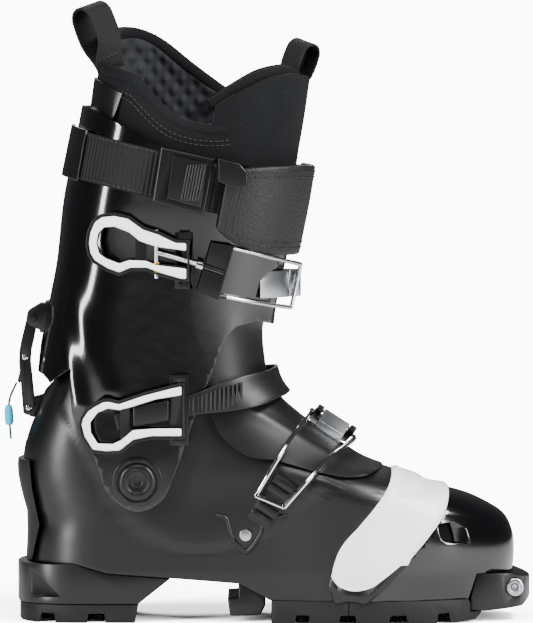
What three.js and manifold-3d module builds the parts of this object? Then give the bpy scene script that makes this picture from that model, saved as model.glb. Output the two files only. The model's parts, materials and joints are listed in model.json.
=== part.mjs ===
// Alpine touring boot with a flexing toe, right foot.
// Millimetres, +Z up, +X to the toe, -Y is the outer side.
// The shells are slices of three smooth forms: the foot, the leg and the ankle strap that wraps them.
import * as THREE from "three";
import { mergeVertices } from "three/addons/utils/BufferGeometryUtils.js";
import Module from "manifold-3d";

const wasm = await Module();
wasm.setup();

// ---------- driving sizes ----------
const HEEL_X = -155; // the heel's rear end is the datum, and a longer sole grows at the toe
const SOLE_LENGTH = 310; // heel rand to toe block
const TOE_X = HEEL_X + SOLE_LENGTH;
const GAP = 0.35; // between pieces that touch
const SHELL_WALL = 4.4;
const LINER_ROOM = 1.3; // liner to the shell's wall
const CUFF_WALL = 4;
const CUFF_CLEARANCE = 0.7; // cuff to tongue
const TONGUE_WALL = 3;
const LINER_WALL = 9;
const SOLE_HEIGHT = 14; // outsole at the ball of the foot
const HEEL_TOP = 35.4; // top of the heel block
const HEEL_RUBBER = 11;
const LUG_DEPTH = 5.5;
const PIVOT = { x: -81.6, z: 85.8 }; // ankle pivot
const PIVOT_BOLT_R = 8;
const ANKLE_RADIUS = 77; // shell rim round the pivot
const ANKLE_HALF_WIDTH = 41.5;
const CUFF_HALF_WIDTH = ANKLE_HALF_WIDTH + TONGUE_WALL + 2 * CUFF_CLEARANCE + CUFF_WALL;
const BALL_HALF_WIDTH = 56;
const FLEX_X = 45; // the sole bends here
const CUFF_TOP = 310;
const STRAP_WIDTH = 28;
const STRAP_THICKNESS = 2.2;
const WIRE_R = 1.3;
const RIVET_R = 3;
const INSERT_R = 5.5;
const CORD_R = 0.75;
const BUSH_GAP = 0.5; // pivot bush to the shell, whose side is slightly curved
const LINK_INNER = 4.4; // walk link, half of the room between its plates
const LINK_OUTER = 6.8;
const LEVER_THICK = 4;

// ---------- materials ----------
const finish = (color, roughness, metalness = 0) => new THREE.MeshStandardMaterial({ color, roughness,
  metalness });
const GLOSS_BLACK = finish(0x0c0c0d, 0.18);
const SATIN_BLACK = finish(0x161718, 0.5);
const TONGUE_GREY = finish(0x26282a, 0.6);
const WHITE_PLASTIC = finish(0xe8eaec, 0.35);
const RUBBER = finish(0x121212, 0.85);
const FABRIC = finish(0x1a1a1b, 0.95);
const LINER_FOAM = finish(0x222224, 0.9);
const CHROME = finish(0xd5d7da, 0.15, 1);
const STEEL = finish(0x9a9c9f, 0.3, 1);
const CYAN_PLASTIC = finish(0x0fa3c4, 0.3);
const FOAM = finish(0x3a3b3d, 0.9);

// ---------- solids ----------
const ACROSS = 90; // half of a cutter's width
function solid(geometry) {
  const bare = geometry.index ? geometry.toNonIndexed() : geometry.clone();
  bare.deleteAttribute("normal");
  bare.deleteAttribute("uv");
  const merged = mergeVertices(bare, 1e-4);
  const mesh = { numProp: 3, vertProperties: merged.attributes.position.array,
    triVerts: merged.index.array };
  return new wasm.Manifold(new wasm.Mesh({ ...mesh, triVerts: new Uint32Array(mesh.triVerts) }));
}
function geometryOf(manifold) {
  const { vertProperties, triVerts } = manifold.getMesh();
  const geometry = new THREE.BufferGeometry();
  geometry.setAttribute("position", new THREE.BufferAttribute(new Float32Array(vertProperties), 3));
  geometry.setIndex(new THREE.BufferAttribute(new Uint32Array(triVerts), 1));
  return geometry.toNonIndexed();
}
const shapeOf = (points) => new THREE.Shape(points.map(([a, b]) => new THREE.Vector2(a, b)));
const curved = (points, steps) => {
  const curve = new THREE.CatmullRomCurve3(points.map(([a, b]) => new THREE.Vector3(a, b, 0)), false,
    "centripetal");
  return curve.getPoints(steps).map((p) => [p.x, p.y]);
};
// A side outline in X and Z, run along Y from low to high.
function prism(points, low = -ACROSS, high = ACROSS, bevel = 0) {
  const options = { depth: high - low - 2 * bevel, bevelEnabled: bevel > 0, bevelSize: bevel,
    bevelThickness: bevel };
  const geometry = new THREE.ExtrudeGeometry(shapeOf(points),
    { ...options, bevelOffset: -bevel, bevelSegments: 1 });
  return solid(geometry.rotateX(Math.PI / 2).translate(0, high - bevel, 0));
}
// A plan outline in X and Y, run up from low to high.
const slab = (points, low, high) =>
  solid(new THREE.ExtrudeGeometry(shapeOf(points), { depth: high - low, bevelEnabled: false })
    .translate(0, 0, low));
const box = (x0, y0, z0, x1, y1, z1) =>
  solid(new THREE.BoxGeometry(x1 - x0, y1 - y0, z1 - z0)
    .translate((x0 + x1) / 2, (y0 + y1) / 2, (z0 + z1) / 2));
// A turned profile of [radius, height] points about Y, its height pointing outwards on the given side.
function turned(profile, x, y, z, side, segments = 20) {
  const points = profile.map(([r, h]) => new THREE.Vector2(r, h));
  const geometry = new THREE.LatheGeometry(points, segments);
  if (side < 0) geometry.rotateX(Math.PI);
  return solid(geometry.translate(x, y, z));
}
const rivet = (x, y, z, side, radius = RIVET_R, height = 1.6, stem = 2) =>
  turned([[0, -stem], [radius * 0.6, -stem], [radius * 0.6, 0], [radius, 0], [radius * 0.8, height],
    [0, height]], x, y, z, side, 16);
// A round wire through the given points.
function wire(points, radius, steps, sides = 8) {
  const path = new THREE.CatmullRomCurve3(points.map((p) => new THREE.Vector3(...p)), false,
    "centripetal");
  const section = new THREE.Shape().absarc(0, 0, radius, 0, 2 * Math.PI);
  const options = { steps, bevelEnabled: false, extrudePath: path, curveSegments: sides };
  return solid(new THREE.ExtrudeGeometry(section, options));
}
const join = (...pieces) => pieces.reduce((all, piece) => all.add(piece));

// ---------- smooth forms ----------
// A value that eases from station to station: [[at, value], ...].
function eased(stations) {
  return (at) => {
    const next = stations.findIndex(([a]) => a > at);
    if (next === -1) return stations[stations.length - 1][1];
    if (next === 0) return stations[0][1];
    const [[a, u], [b, v]] = [stations[next - 1], stations[next]];
    const slope = (i) => {
      const [before, after] = [stations[Math.max(i - 1, 0)],
        stations[Math.min(i + 1, stations.length - 1)]];
      return (after[1] - before[1]) / (after[0] - before[0]);
    };
    const [h, t] = [b - a, (at - a) / (b - a)];
    const [t2, t3] = [t * t, t * t * t];
    const ends = u * (2 * t3 - 3 * t2 + 1) + v * (3 * t2 - 2 * t3);
    return ends + h * (slope(next - 1) * (t3 - 2 * t2 + t) + slope(next) * (t3 - t2));
  };
}
// A form has a rear and a front end, end roundings and a half width at each height.
const ROUNDNESS = 2.4;
const FINE = { back: 5, side: 5, front: 6 };
const PLAIN = { back: 4, side: 5, front: 5 };
function ring(form, z, offset, steps = FINE) {
  const [rear, front] = [form.rear(z), form.front(z)];
  const [backRound, frontRound] = [form.backRound(z), form.frontRound(z)];
  const side = [];
  const swell = (a) => Math.pow(Math.max(a, 0), 2 / ROUNDNESS);
  const put = (x, share) => side.push([x, share * (form.halfWidth(x, z) + offset)]);
  for (let i = 0; i <= steps.back; i++) {
    const turn = (i / steps.back) * (Math.PI / 2);
    put(rear + backRound - (backRound + offset) * swell(Math.cos(turn)), swell(Math.sin(turn)));
  }
  for (let i = 1; i < steps.side; i++) {
    const [from, to] = [rear + backRound, front - frontRound];
    put(from + ((to - from) * i) / steps.side, 1);
  }
  for (let i = 0; i <= steps.front; i++) {
    const turn = (i / steps.front) * (Math.PI / 2);
    put(front - frontRound + (frontRound + offset) * swell(Math.sin(turn)), swell(Math.cos(turn)));
  }
  const centre = form.centre;
  const outer = side.map(([x, w]) => [x, centre(x, z) - w, z]);
  const inner = side.slice(1, -1).reverse().map(([x, w]) => [x, centre(x, z) + w, z]);
  return [...outer, ...inner];
}
function loft(form, levels, offset, steps) {
  const rings = levels.map((z) => ring(form, z, offset, steps));
  const count = rings[0].length;
  const corners = [];
  const triangle = (a, b, c) => corners.push(...a, ...b, ...c);
  const middle = (points) => [0, 1, 2].map((k) => points.reduce((sum, p) => sum + p[k], 0) / count);
  for (let i = 0; i < count; i++) {
    const j = (i + 1) % count;
    for (let level = 0; level + 1 < rings.length; level++) {
      const [low, high] = [rings[level], rings[level + 1]];
      triangle(low[i], low[j], high[j]);
      triangle(low[i], high[j], high[i]);
    }
    triangle(middle(rings[0]), rings[0][j], rings[0][i]);
    triangle(middle(rings.at(-1)), rings.at(-1)[i], rings.at(-1)[j]);
  }
  const geometry = new THREE.BufferGeometry();
  geometry.setAttribute("position", new THREE.Float32BufferAttribute(corners, 3));
  return solid(geometry);
}
// The half width share that is left at x, for placing hardware on a form's side.
function surfaceY(form, x, z, offset, side = -1) {
  const [from, to] = [form.rear(z) + form.backRound(z), form.front(z) - form.frontRound(z)];
  const behind = (from - x) / (form.backRound(z) + offset);
  const ahead = (x - to) / (form.frontRound(z) + offset);
  const along = Math.max(behind, ahead, 0);
  const share = Math.pow(Math.max(1 - Math.pow(Math.min(along, 1), ROUNDNESS), 0), 1 / ROUNDNESS);
  return form.centre(x, z) + side * share * (form.halfWidth(x, z) + offset);
}

const footprint = eased([[HEEL_X, 38], [-100, ANKLE_HALF_WIDTH], [-50, ANKLE_HALF_WIDTH], [0, 47],
  [FLEX_X, BALL_HALF_WIDTH], [95, BALL_HALF_WIDTH - 3], [130, 47], [TOE_X, 40]]);
const legCentre = eased([[60, CUFF_HALF_WIDTH], [150, CUFF_HALF_WIDTH], [216, CUFF_HALF_WIDTH + 2],
  [252, CUFF_HALF_WIDTH + 5], [CUFF_TOP, CUFF_HALF_WIDTH + 9], [CUFF_TOP + 60, CUFF_HALF_WIDTH + 9]]);
const LINING = CUFF_WALL + TONGUE_WALL + 2 * CUFF_CLEARANCE; // cuff's outside to the shell's

const LEG = {
  rear: eased([[55, HEEL_X + 12], [120, HEEL_X + 12], [151, HEEL_X + 12.5], [186, HEEL_X + 18.8],
    [216, HEEL_X + 24.6],
    [252, HEEL_X + 28.6], [285, HEEL_X + 35], [CUFF_TOP, HEEL_X + 40], [CUFF_TOP + 60, HEEL_X + 48]]),
  front: eased([[55, -1], [151, -1], [186, 1.2], [216, 7.4], [252, 14.8], [285, 20], [CUFF_TOP, 23],
    [CUFF_TOP + 60, 28]]),
  backRound: () => 45,
  frontRound: () => 56,
  halfWidth: (x, z) => legCentre(z),
  centre: () => 0,
};
const legShare = eased([[90, 0], [150, 1], [400, 1]]);
const FOOT = {
  rear: eased([[10, HEEL_X + 15], [30, HEEL_X + 9], [48, HEEL_X + 9], [60, HEEL_X + 10],
    [74, HEEL_X + 6.5],
    [90, HEEL_X + 3.5], [108, HEEL_X + 5.5], [131, HEEL_X + 14], [150, HEEL_X + 12.5 + LINING],
    [186, HEEL_X + 18.8 + LINING], [216, HEEL_X + 24.6 + LINING], [252, HEEL_X + 28.6 + LINING]]),
  front: eased([[10, TOE_X - 16], [22, TOE_X - 12], [32, TOE_X - 10], [45, TOE_X - 9.5], [54, TOE_X - 11],
    [63, TOE_X - 16], [69, TOE_X - 25], [75, TOE_X - 38], [78, TOE_X - 49], [84, 90], [88, 77], [92, 65],
    [97, 52], [105, 39], [115, 24], [125, 11], [134, 1], [145, -6], [160, -9], [176, -9.8],
      [186, 1.2 - LINING],
    [216, 7.4 - LINING], [252, 14.8 - LINING]]),
  backRound: eased([[10, 42], [120, 42], [150, 45 - 3], [400, 42]]),
  frontRound: eased([[10, 72], [100, 75], [150, 54], [400, 54]]),
  halfWidth: (x, z) => {
    const leg = legShare(z);
    return (1 - leg) * footprint(x) * (z < 30 ? 1 - (30 - z) * 0.003 : 1) + leg * (legCentre(z) - LINING);
  },
  centre: (x, z) => (1 - legShare(z)) * 5 * THREE.MathUtils.smoothstep(x, 0, TOE_X),
};
const FOOT_LEVELS = [10, 22, 36, 52, 65, 74, 80, 87, 93, 100, 110, 121, 133, 147, 163, 190, 240];
const LEG_LEVELS = [60, 130, 151, 168, 186, 206, 230, 254, 284, CUFF_TOP, CUFF_TOP + 25, CUFF_TOP + 60];
const foot = (offset, levels = FOOT_LEVELS, steps = FINE) => loft(FOOT, levels, offset, steps);
const innerFoot = (offset, levels = FOOT_LEVELS) => foot(offset, levels, PLAIN);
const leg = (offset, steps = FINE) => loft(LEG, LEG_LEVELS, offset, steps);

// ---------- side outlines of the shell's pieces ----------
const BELLOWS_REAR = curved([[36, SOLE_HEIGHT + 1], [34.2, 27], [39.6, 45.6], [52.2, 60.6], [62.4, 73.2],
  [70.2, 85.8], [73, 100]], 14);
const BELLOWS_FRONT = curved([[57, SOLE_HEIGHT + 1], [66.6, 23.4], [80, 37.6], [93, 52.8], [103.2, 68.4],
  [106.8, 90]], 12);
const THROAT = curved([[66, 88], [48, 93], [28, 100], [0, 112], [-20, 124], [-32, 143]], 10);
const TONGUE_EDGE = curved([[68, 97], [64.8, 92.4], [48, 88.6], [29.4, 91.2], [1.2, 98.4], [-15, 100.8],
  [-30, 111.6], [-37.2, 125.4],
  [-40, 150]], 16);
const shifted = (points, dx, dz = 0) => points.map(([x, z]) => [x + dx, z + dz]);
const UNDERSIDE = [[HEEL_X - 20, HEEL_TOP + GAP], [-120, HEEL_TOP + GAP], [-100, 30], [-62, 27.2],
  [-21, 24.2], [-2, SOLE_HEIGHT + GAP]];

function rimArc(radius, from, to, steps) {
  const at = (i) => THREE.MathUtils.degToRad(from + ((to - from) * i) / steps);
  return Array.from({ length: steps + 1 }, (_, i) => [PIVOT.x + radius * Math.cos(at(i)),
    PIVOT.z + radius * Math.sin(at(i))]);
}
// The inner floor, on which the boot board lies, lifted by the given height.
const floorLine = (lift) => [[HEEL_X, 45], [-100, 42], [-40, 33], [10, 24], [110, 24], [122, 34],
  [TOE_X, 35]].map(([x, z]) => [x, z + lift]);
const overFloor = (lift) => [...floorLine(lift), [TOE_X, 420], [HEEL_X, 420]];

const pieces = {};
const put = (name, shape, material) => {
  pieces[name] = { shape, material };
};

// ---------- lower shell ----------
const footOuter = foot(0);
const cavity = foot(-SHELL_WALL).intersect(prism(overFloor(0)));
function rearShell() {
  const outline = [...UNDERSIDE, ...shifted(BELLOWS_REAR, -GAP), ...THROAT.slice(1),
    ...rimArc(ANKLE_RADIUS, 52, 138, 10),
    [HEEL_X - 20, 137.5]];
  const shell = footOuter.subtract(cavity).intersect(prism(outline));
  const drill = turned([[0, 0], [PIVOT_BOLT_R + GAP, 0], [PIVOT_BOLT_R + GAP, 160], [0, 160]], PIVOT.x,
    -80, PIVOT.z, 1);
  return shell.subtract(drill);
}
function toeShell() {
  const outline = [...shifted(BELLOWS_FRONT, GAP).reverse(), [117, SOLE_HEIGHT + GAP], [122, 29.4],
    [TOE_X + 10, 29.4],
    [TOE_X + 10, 120], [106.8, 120]];
  const hole = curved([[98, 60], [108, 60.5], [124, 50], [112, 48.2], [101, 50], [98, 60]], 14)
    .slice(0, -1);
  const recessFloor = surfaceY(FOOT, 112, 54, -2.2);
  return footOuter.subtract(cavity).intersect(prism(outline)).subtract(prism(hole, -ACROSS, recessFloor));
}
function toeBellows() {
  const outline = [...shifted(BELLOWS_REAR, GAP), ...shifted(BELLOWS_FRONT, -GAP).reverse()];
  const valley = curved([[90, 110], [86, 89], [92, 84.5], [97, 87], [100, 110]], 8);
  const body = foot(2.2).subtract(foot(-1.6)).intersect(prism(outline));
  return body.subtract(prism(valley.map(([x, z]) => [x, z + 0.5]))
    .intersect(foot(6).subtract(foot(0.6))));
}
function shellTongue() {
  const outline = [...TONGUE_EDGE, [-34, 236], [60, 236], [60, 110], [72, 100]];
  return foot(TONGUE_WALL + GAP).subtract(foot(GAP)).intersect(prism(outline));
}
put("rear_shell", rearShell(), SATIN_BLACK);
put("toe_shell", toeShell(), GLOSS_BLACK);
put("toe_bellows", toeBellows(), WHITE_PLASTIC);
put("shell_tongue", shellTongue(), TONGUE_GREY);

// ---------- inside ----------
const BOARD = 5;
const layer = (low, high, toX) => [...floorLine(low), ...floorLine(high)
  .reverse()].map(([x, z]) => [Math.min(x, toX), z]);
put("boot_board", innerFoot(-SHELL_WALL - LINER_ROOM).intersect(prism(layer(GAP, BOARD, TOE_X)))
  .intersect(prism([[HEEL_X, 0],
  [30, 0], [30, 90], [HEEL_X, 90]])), FOAM);
const footRoom = innerFoot(-SHELL_WALL - LINER_WALL / 2).intersect(prism(overFloor(BOARD + 4)));
const footTop = [[HEEL_X, 0], [TOE_X, 0], [TOE_X, 74], [90, 76], [60, 86], [0, 104], [-30, 122],
  [-50, 145], [HEEL_X, 145]];
put("liner_foot", innerFoot(-SHELL_WALL - LINER_ROOM).intersect(prism(overFloor(BOARD + GAP)))
  .intersect(prism(footTop)).subtract(footRoom), LINER_FOAM);
put("footbed", innerFoot(-SHELL_WALL - LINER_WALL / 2 - GAP)
  .intersect(prism(layer(BOARD + 4 + GAP, BOARD + 8, TOE_X))), FOAM);

// ---------- cuff ----------
const CUFF_OUTLINE = [
  ...curved([[-22, 178.5], [-29.4, 171], [-35.4, 155.4], [-49.2, 119.4], [-58.2, 93], [-67.2, 74.4],
    [-82.8, 67.8], [-99, 78.6],
    [-105.6, 95.4], [-115.8, 120.6], [-122.4, 126], [-138, 148.2], [-150, 150.5]], 34).reverse(),
  [-10, 181.5], [8, 176], [40, 178], [40, 273.6], [-9.6, 273.6], [-60, 284], [-112, 309.6],
    [-160, 309.6]];
function cuffShell() {
  const ankleRoom = rimArc(ANKLE_RADIUS + 1.5, 0, 350, 35);
  const wall = leg(0).subtract(leg(-CUFF_WALL)).intersect(prism(CUFF_OUTLINE));
  const drill = turned([[0, 0], [PIVOT_BOLT_R + GAP, 0], [PIVOT_BOLT_R + GAP, 160], [0, 160]], PIVOT.x,
    -80, PIVOT.z, 1);
  const room = prism(ankleRoom, -CUFF_HALF_WIDTH + CUFF_WALL, CUFF_HALF_WIDTH - CUFF_WALL);
  const linkNotch = box(-170, -LINK_OUTER - 1.6, 140, -120, LINK_OUTER + 1.6, 165);
  return wall.subtract(drill).subtract(room).subtract(linkNotch);
}
put("cuff", cuffShell(), GLOSS_BLACK);
const SPOILER = [[-118, 306.5], [-96, 302], [-90, 318], [-112, 329], [-125, 322]];
const spoilerBand = leg(-CUFF_WALL - GAP).subtract(leg(-CUFF_WALL - 2.1));
put("rear_spoiler", spoilerBand.intersect(prism(SPOILER)), SATIN_BLACK);

for (const [word, side] of [["lateral", -1], ["medial", 1]]) {
  const seat = side * (ANKLE_HALF_WIDTH + BUSH_GAP);
  const thick = TONGUE_WALL + 2 * CUFF_CLEARANCE - BUSH_GAP - GAP;
  const bush = [[PIVOT_BOLT_R + GAP, 0], [15, 0], [15, thick], [PIVOT_BOLT_R + GAP, thick],
    [PIVOT_BOLT_R + GAP, 0]];
  put("pivot_bush_" + word, turned(bush, PIVOT.x, seat, PIVOT.z, side), FOAM);
  const head = thick + 2 * GAP + CUFF_WALL + GAP;
  const bolt = [[0, -4.1], [PIVOT_BOLT_R, -4.1], [PIVOT_BOLT_R, head], [11, head], [11, head + 1.4],
    [9.6, head + 2.4],
    [7, head + 2.4], [6.4, head + 1.2], [3.2, head + 1.2], [3.2, head], [0, head]];
  put("pivot_bolt_" + word, turned(bolt, PIVOT.x, seat, PIVOT.z, side, 20), SATIN_BLACK);
}

// ---------- liner cuff, its tongue and pull loops ----------
const LINER_OPEN = [[-24, 100], [60, 100], [60, 420], [-14, 420], [-14, 306], [-24, 288]];
const linerTop = (lift) => [[HEEL_X, 148], [40, 148], [40, 281 + lift], [-10, 300 + lift],
  [-34, 297 + lift], [-65, 307 + lift],
  [-85, 322 + lift], [-102, 328 + lift], [HEEL_X, 330 + lift]];
function linerBody(shrink) {
  const tall = [...FOOT_LEVELS.filter((z) => z < 215)];
  const low = innerFoot(-SHELL_WALL - LINER_ROOM - shrink, tall)
    .intersect(box(-200, -90, 140, 90, 90, 168));
  const middle = innerFoot(-GAP - shrink).intersect(box(-200, -90, 167, 90, 90, 238.5));
  const high = leg(-CUFF_WALL - 2.6 - GAP - shrink, PLAIN).intersect(box(-200, -90, 238, 90, 90, 420));
  return join(low, middle, high);
}
const linerWall = linerBody(0).subtract(linerBody(LINER_WALL).add(box(-100, -20, 100, -60, 20, 160)));
const roll = box(-300, -300, 0, 300, 300, 400).rotate([-9, 0, 0]).translate([0, 0, -88]);
put("liner_cuff", linerWall.intersect(prism(linerTop(12))).subtract(roll.translate([0, 0, 400]))
  .subtract(prism(LINER_OPEN)), LINER_FOAM);
const TONGUE_TOP = [[-23.4, 160], [50, 160], [50, 296], [15, 300], [10, 322], [-2, 322], [-13.4, 312],
  [-13.4, 305.5], [-23.4, 287.5]];
put("liner_tongue", linerWall.intersect(prism(TONGUE_TOP)), LINER_FOAM);

// A webbing loop: two legs and a round top, its band running along X, leaning by the given angle.
function pullLoop(x, z, width, height, spread, lean) {
  const half = spread / 2;
  const arch = (r, base) => {
    const points = [[r, base]];
    for (let i = 0; i <= 10; i++) points.push([r * Math.cos((Math.PI * i) / 10),
      height - half + r * Math.sin((Math.PI * i) / 10)]);
    points.push([-r, base]);
    return points;
  };
  const outline = [...arch(half + 1.6, 0), ...arch(half, 0).reverse()];
  const geometry = new THREE.ExtrudeGeometry(shapeOf(outline), { depth: width, bevelEnabled: false });
  geometry.rotateX(Math.PI / 2).rotateZ(Math.PI / 2).translate(-width / 2, 0, 0);
  geometry.rotateY(lean);
  return solid(geometry.translate(x, 0, z));
}
const radians = (degrees) => THREE.MathUtils.degToRad(degrees);
put("rear_pull_loop", pullLoop(-98, 331.5, 17, 40, 12, radians(-20)), FABRIC);
put("front_pull_loop", pullLoop(9, 324, 14, 26, 10, radians(20)), FABRIC);

// ---------- sole ----------
const planOf = (z, offset) => ring(FOOT, z, offset).map(([x, y]) => [x, y]);
const lugs = (from, to, gaps, top, extra) => {
  const line = [[from, top], [from, 0]];
  for (const [a, b] of gaps) line.push([a, 0], [a + 1, LUG_DEPTH], [b - 1, LUG_DEPTH], [b, 0]);
  return [...line, ...extra, [to, top]];
};
const HEEL_LUG = { ...FOOT, rear: () => HEEL_X + 0.4, backRound: () => 34,
  halfWidth: () => ANKLE_HALF_WIDTH - 2.5, centre: () => 0 };
const heelPlan = (offset) => ring(HEEL_LUG, 30, offset).map(([x, y]) => [x, y]);
put("heel_block", slab(heelPlan(0), 0, 60).intersect(prism([[HEEL_X - 9, HEEL_TOP - 0.2],
  [-120, HEEL_TOP - 0.2], [-100, 29.4], [-62.4, 26.6],
  [-81.6, HEEL_RUBBER + GAP], [HEEL_X - 9, HEEL_RUBBER + GAP]]))
    .subtract(prism([[-149, 30.6], [-143.4, 30], [-128.4, 15.6],
  [-144.6, 15.6]], -ACROSS, -29)).subtract(prism([[-149, 30.6], [-143.4, 30], [-128.4, 15.6],
    [-144.6, 15.6]], 29, ACROSS)), SATIN_BLACK);
put("heel_outsole", slab(heelPlan(-1.2), 0, 60)
  .intersect(prism(lugs(HEEL_X - 9, -81.6, [[-140.4, -130.8], [-112.2, -100.8]],
  HEEL_RUBBER, [[-83.6, 0]]))), RUBBER);
put("forefoot_outsole", slab(planOf(22, 0), 0, 60)
  .intersect(prism(lugs(-1.2, FLEX_X - GAP / 2, [[12.6, 22.2]], SOLE_HEIGHT,
  [[39, 0], [40, LUG_DEPTH], [FLEX_X - GAP / 2, LUG_DEPTH]]))), RUBBER);
const toeLugs = [[FLEX_X + GAP / 2, SOLE_HEIGHT], [FLEX_X + GAP / 2, LUG_DEPTH], [48.8, LUG_DEPTH],
  [49.8, 0], [69, 0], [70, LUG_DEPTH],
  [79.4, LUG_DEPTH], [80.4, 0], [97.8, 0], [98.8, LUG_DEPTH + 0.5], [105.2, LUG_DEPTH + 1], [106.2, 0.6],
    [121, 1.8], [125, 6.2],
  [118.2, 6.2], [118.2, 12], [116.6, SOLE_HEIGHT]];
put("toe_outsole", slab(planOf(22, 0), 0, 60).intersect(prism(toeLugs)), RUBBER);
put("second_heel", prism([[-21, 23.4], [-5, 15.2], [-5, 10.2], [-8, 4], [-26, 3.6], [-27.6, 14],
  [-21, 14.4]], -31, 31), SATIN_BLACK);

// Toe block with a steel insert in each side for the binding's pins.
const TOE_BLOCK_HALF = 34;
const INSERT = { x: TOE_X - 9.8, z: 20.4 };
const TOE_LUG = { ...FOOT, rear: () => 60, front: () => TOE_X, backRound: () => 20, frontRound: () => 26,
  halfWidth: () => TOE_BLOCK_HALF, centre: () => 3 };
const blockOutline = [[118.6, SOLE_HEIGHT + GAP], [122.4, 28.9], [144.6, 28.9], [TOE_X, 25.8],
  [TOE_X, 13.8], [TOE_X - 5, 9],
  [127, 6.6], [118.6, 6.6]];
const insertSeat = (side) => turned([[0, -5], [INSERT_R + GAP, -5], [INSERT_R + GAP, 9], [0, 9]],
  INSERT.x,
  surfaceY(TOE_LUG, INSERT.x, 20, 0, side), INSERT.z, side);
put("toe_block", slab(ring(TOE_LUG, 20, 0).map(([x, y]) => [x, y]), 0, 60).intersect(prism(blockOutline))
  .subtract(insertSeat(-1)).subtract(insertSeat(1)), SATIN_BLACK);
for (const [word, side] of [["lateral", -1], ["medial", 1]]) {
  const cup = [[0, -4.6], [INSERT_R, -4.6], [INSERT_R, 1], [INSERT_R - 1, 1.6], [3, 1.6], [1.6, -1.6],
    [0, -1.6]];
  put("tech_insert_" + word, turned(cup, INSERT.x, surfaceY(TOE_LUG, INSERT.x, 20, 0, side), INSERT.z,
    side, 20), STEEL);
}
const randBand = foot(2.9 + GAP, FOOT_LEVELS.filter((z) => z > 22 && z < 130)).subtract(foot(GAP));
put("heel_rand", randBand.intersect(prism([[HEEL_X - 9, HEEL_TOP + GAP], [-146, HEEL_TOP + GAP],
  [-141, 58], [-145.5, 80], [-147, 97],
  [HEEL_X - 9, 97]])), RUBBER);

// ---------- buckles ----------
const STAND_OFF = 4; // lever to the shell's side
const PIN_R = 1.1;
const PIN_ROOM = 0.3;
// A lever is a plate cut to a frame: its grip closes the rear end and two forks reach the hinge at the front.
const leverPlate = (outer, windows, seat) =>
  windows.reduce((plate, hole) => plate.subtract(prism(hole)),
    prism(outer, seat - LEVER_THICK, seat, 0.6));
const pin = (from, to, radius = PIN_R) => wire([from, to], radius, 1, 5);
const onSide = (form, x, z, offset, side = -1) => [x, surfaceY(form, x, z, offset, side), z];
// A base bar under the forks' tips, with an ear outside each fork for the hinge pin.
function hingeBase(x, low, high, seat, skin) {
  const bar = box(x - 6, seat + 2, low - 4, x + 5, skin, high + 4);
  const ear = (z) => box(x - 3.2, seat - LEVER_THICK, z - 1.7, x + 3, seat + 2.5, z + 1.7);
  const stub = (from, to) => pin([x, seat - LEVER_THICK / 2, from], [x, seat - LEVER_THICK / 2, to]);
  return join(bar, ear(low - 2.2), ear(high + 2.2), stub(low - 3, low + 5), stub(high - 4, high + 3));
}

// Upper cuff buckle: lever, threaded rod, bail and catch.
const CUFF_SEAT = -(legCentre(222) + STAND_OFF);
const CUFF_HINGE = { x: -53, y: CUFF_SEAT - LEVER_THICK / 2 };
const CUFF_ROD = { x: -70, z: 223.5 };
const cuffFrame = [[-50.2, 231], [-58, 231.2], [-68, 236], [-77, 239], [-86, 245.5], [-103, 246.5],
  [-108, 243], [-112, 229],
  [-108, 217.5], [-92, 209.5], [-85, 212.5], [-76, 212.5], [-68, 209.5], [-56, 206], [-50.2, 205.6]];
const cuffGrip = [[-102, 239], [-88, 238], [-82.5, 231.5], [-82.5, 219], [-91, 216.5], [-102, 221.5],
  [-105, 229]];
const cuffSlot = [[-76, 230], [-70, 228.5], [-45, 225], [-45, 214], [-70, 217], [-76, 217]];
const hingePin = (hinge, low, high, room = 0) => pin([hinge.x, hinge.y, low], [hinge.x, hinge.y, high],
  PIN_R + room);
const rodPin = (room = 0) => pin([CUFF_ROD.x, CUFF_HINGE.y, 210], [CUFF_ROD.x, CUFF_HINGE.y, 235],
  PIN_R + room);
put("cuff_lever", leverPlate(cuffFrame, [cuffGrip, cuffSlot], CUFF_SEAT)
  .subtract(hingePin(CUFF_HINGE, 195, 245, PIN_ROOM))
  .subtract(rodPin(PIN_ROOM)), WHITE_PLASTIC);
put("cuff_buckle_base", hingeBase(CUFF_HINGE.x, 205.6, 231.2, CUFF_SEAT, -legCentre(206) + 2)
  .subtract(leg(GAP)), SATIN_BLACK);
const rodEnd = [-42, CUFF_HINGE.y, 215.5];
put("cuff_rod", join(rodPin(), wire([[CUFF_ROD.x, CUFF_HINGE.y, CUFF_ROD.z], rodEnd], 1.7, 1, 6)),
  CHROME);
const BAIL_SKIN = 4.2;
const plateOutline = [[-37, 229.5], [-23.4, 227], [-32.5, 195], [-46, 200.5]];
const bailBar = [[16.4, -15, 214.5], [10.6, -15, 188.4]];
const cuffWires = [[[-24, 225.8], [-6, 221]], [[-33, 197.2], [-14, 193.4]]].map(([[x0, z0], [x1, z1]],
  i) =>
  wire([onSide(LEG, x0 - 6, z0 + 1.5, BAIL_SKIN), onSide(LEG, x1, z1, BAIL_SKIN + 1), bailBar[i]], WIRE_R,
    6, 4));
const bailPlate = prism(plateOutline, -legCentre(215) - 6.2, -legCentre(215) - 3.4, 0.6)
  .subtract(wire([[-50, CUFF_HINGE.y, 218.3], [-30, CUFF_HINGE.y, 211.2]], 2.1, 1, 6));
put("cuff_bail", join(bailPlate, ...cuffWires, wire(bailBar, WIRE_R, 1, 4)), STEEL);
const catchPlan = [[-8, -38], [3, -28], [9.2, -19], [9.6, -12.8], [15.5, -12.4], [16.6, 3], [0, 8],
  [-8, 0]];
put("cuff_catch", slab(catchPlan, 195, 211).subtract(leg(GAP)), STEEL);

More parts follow.
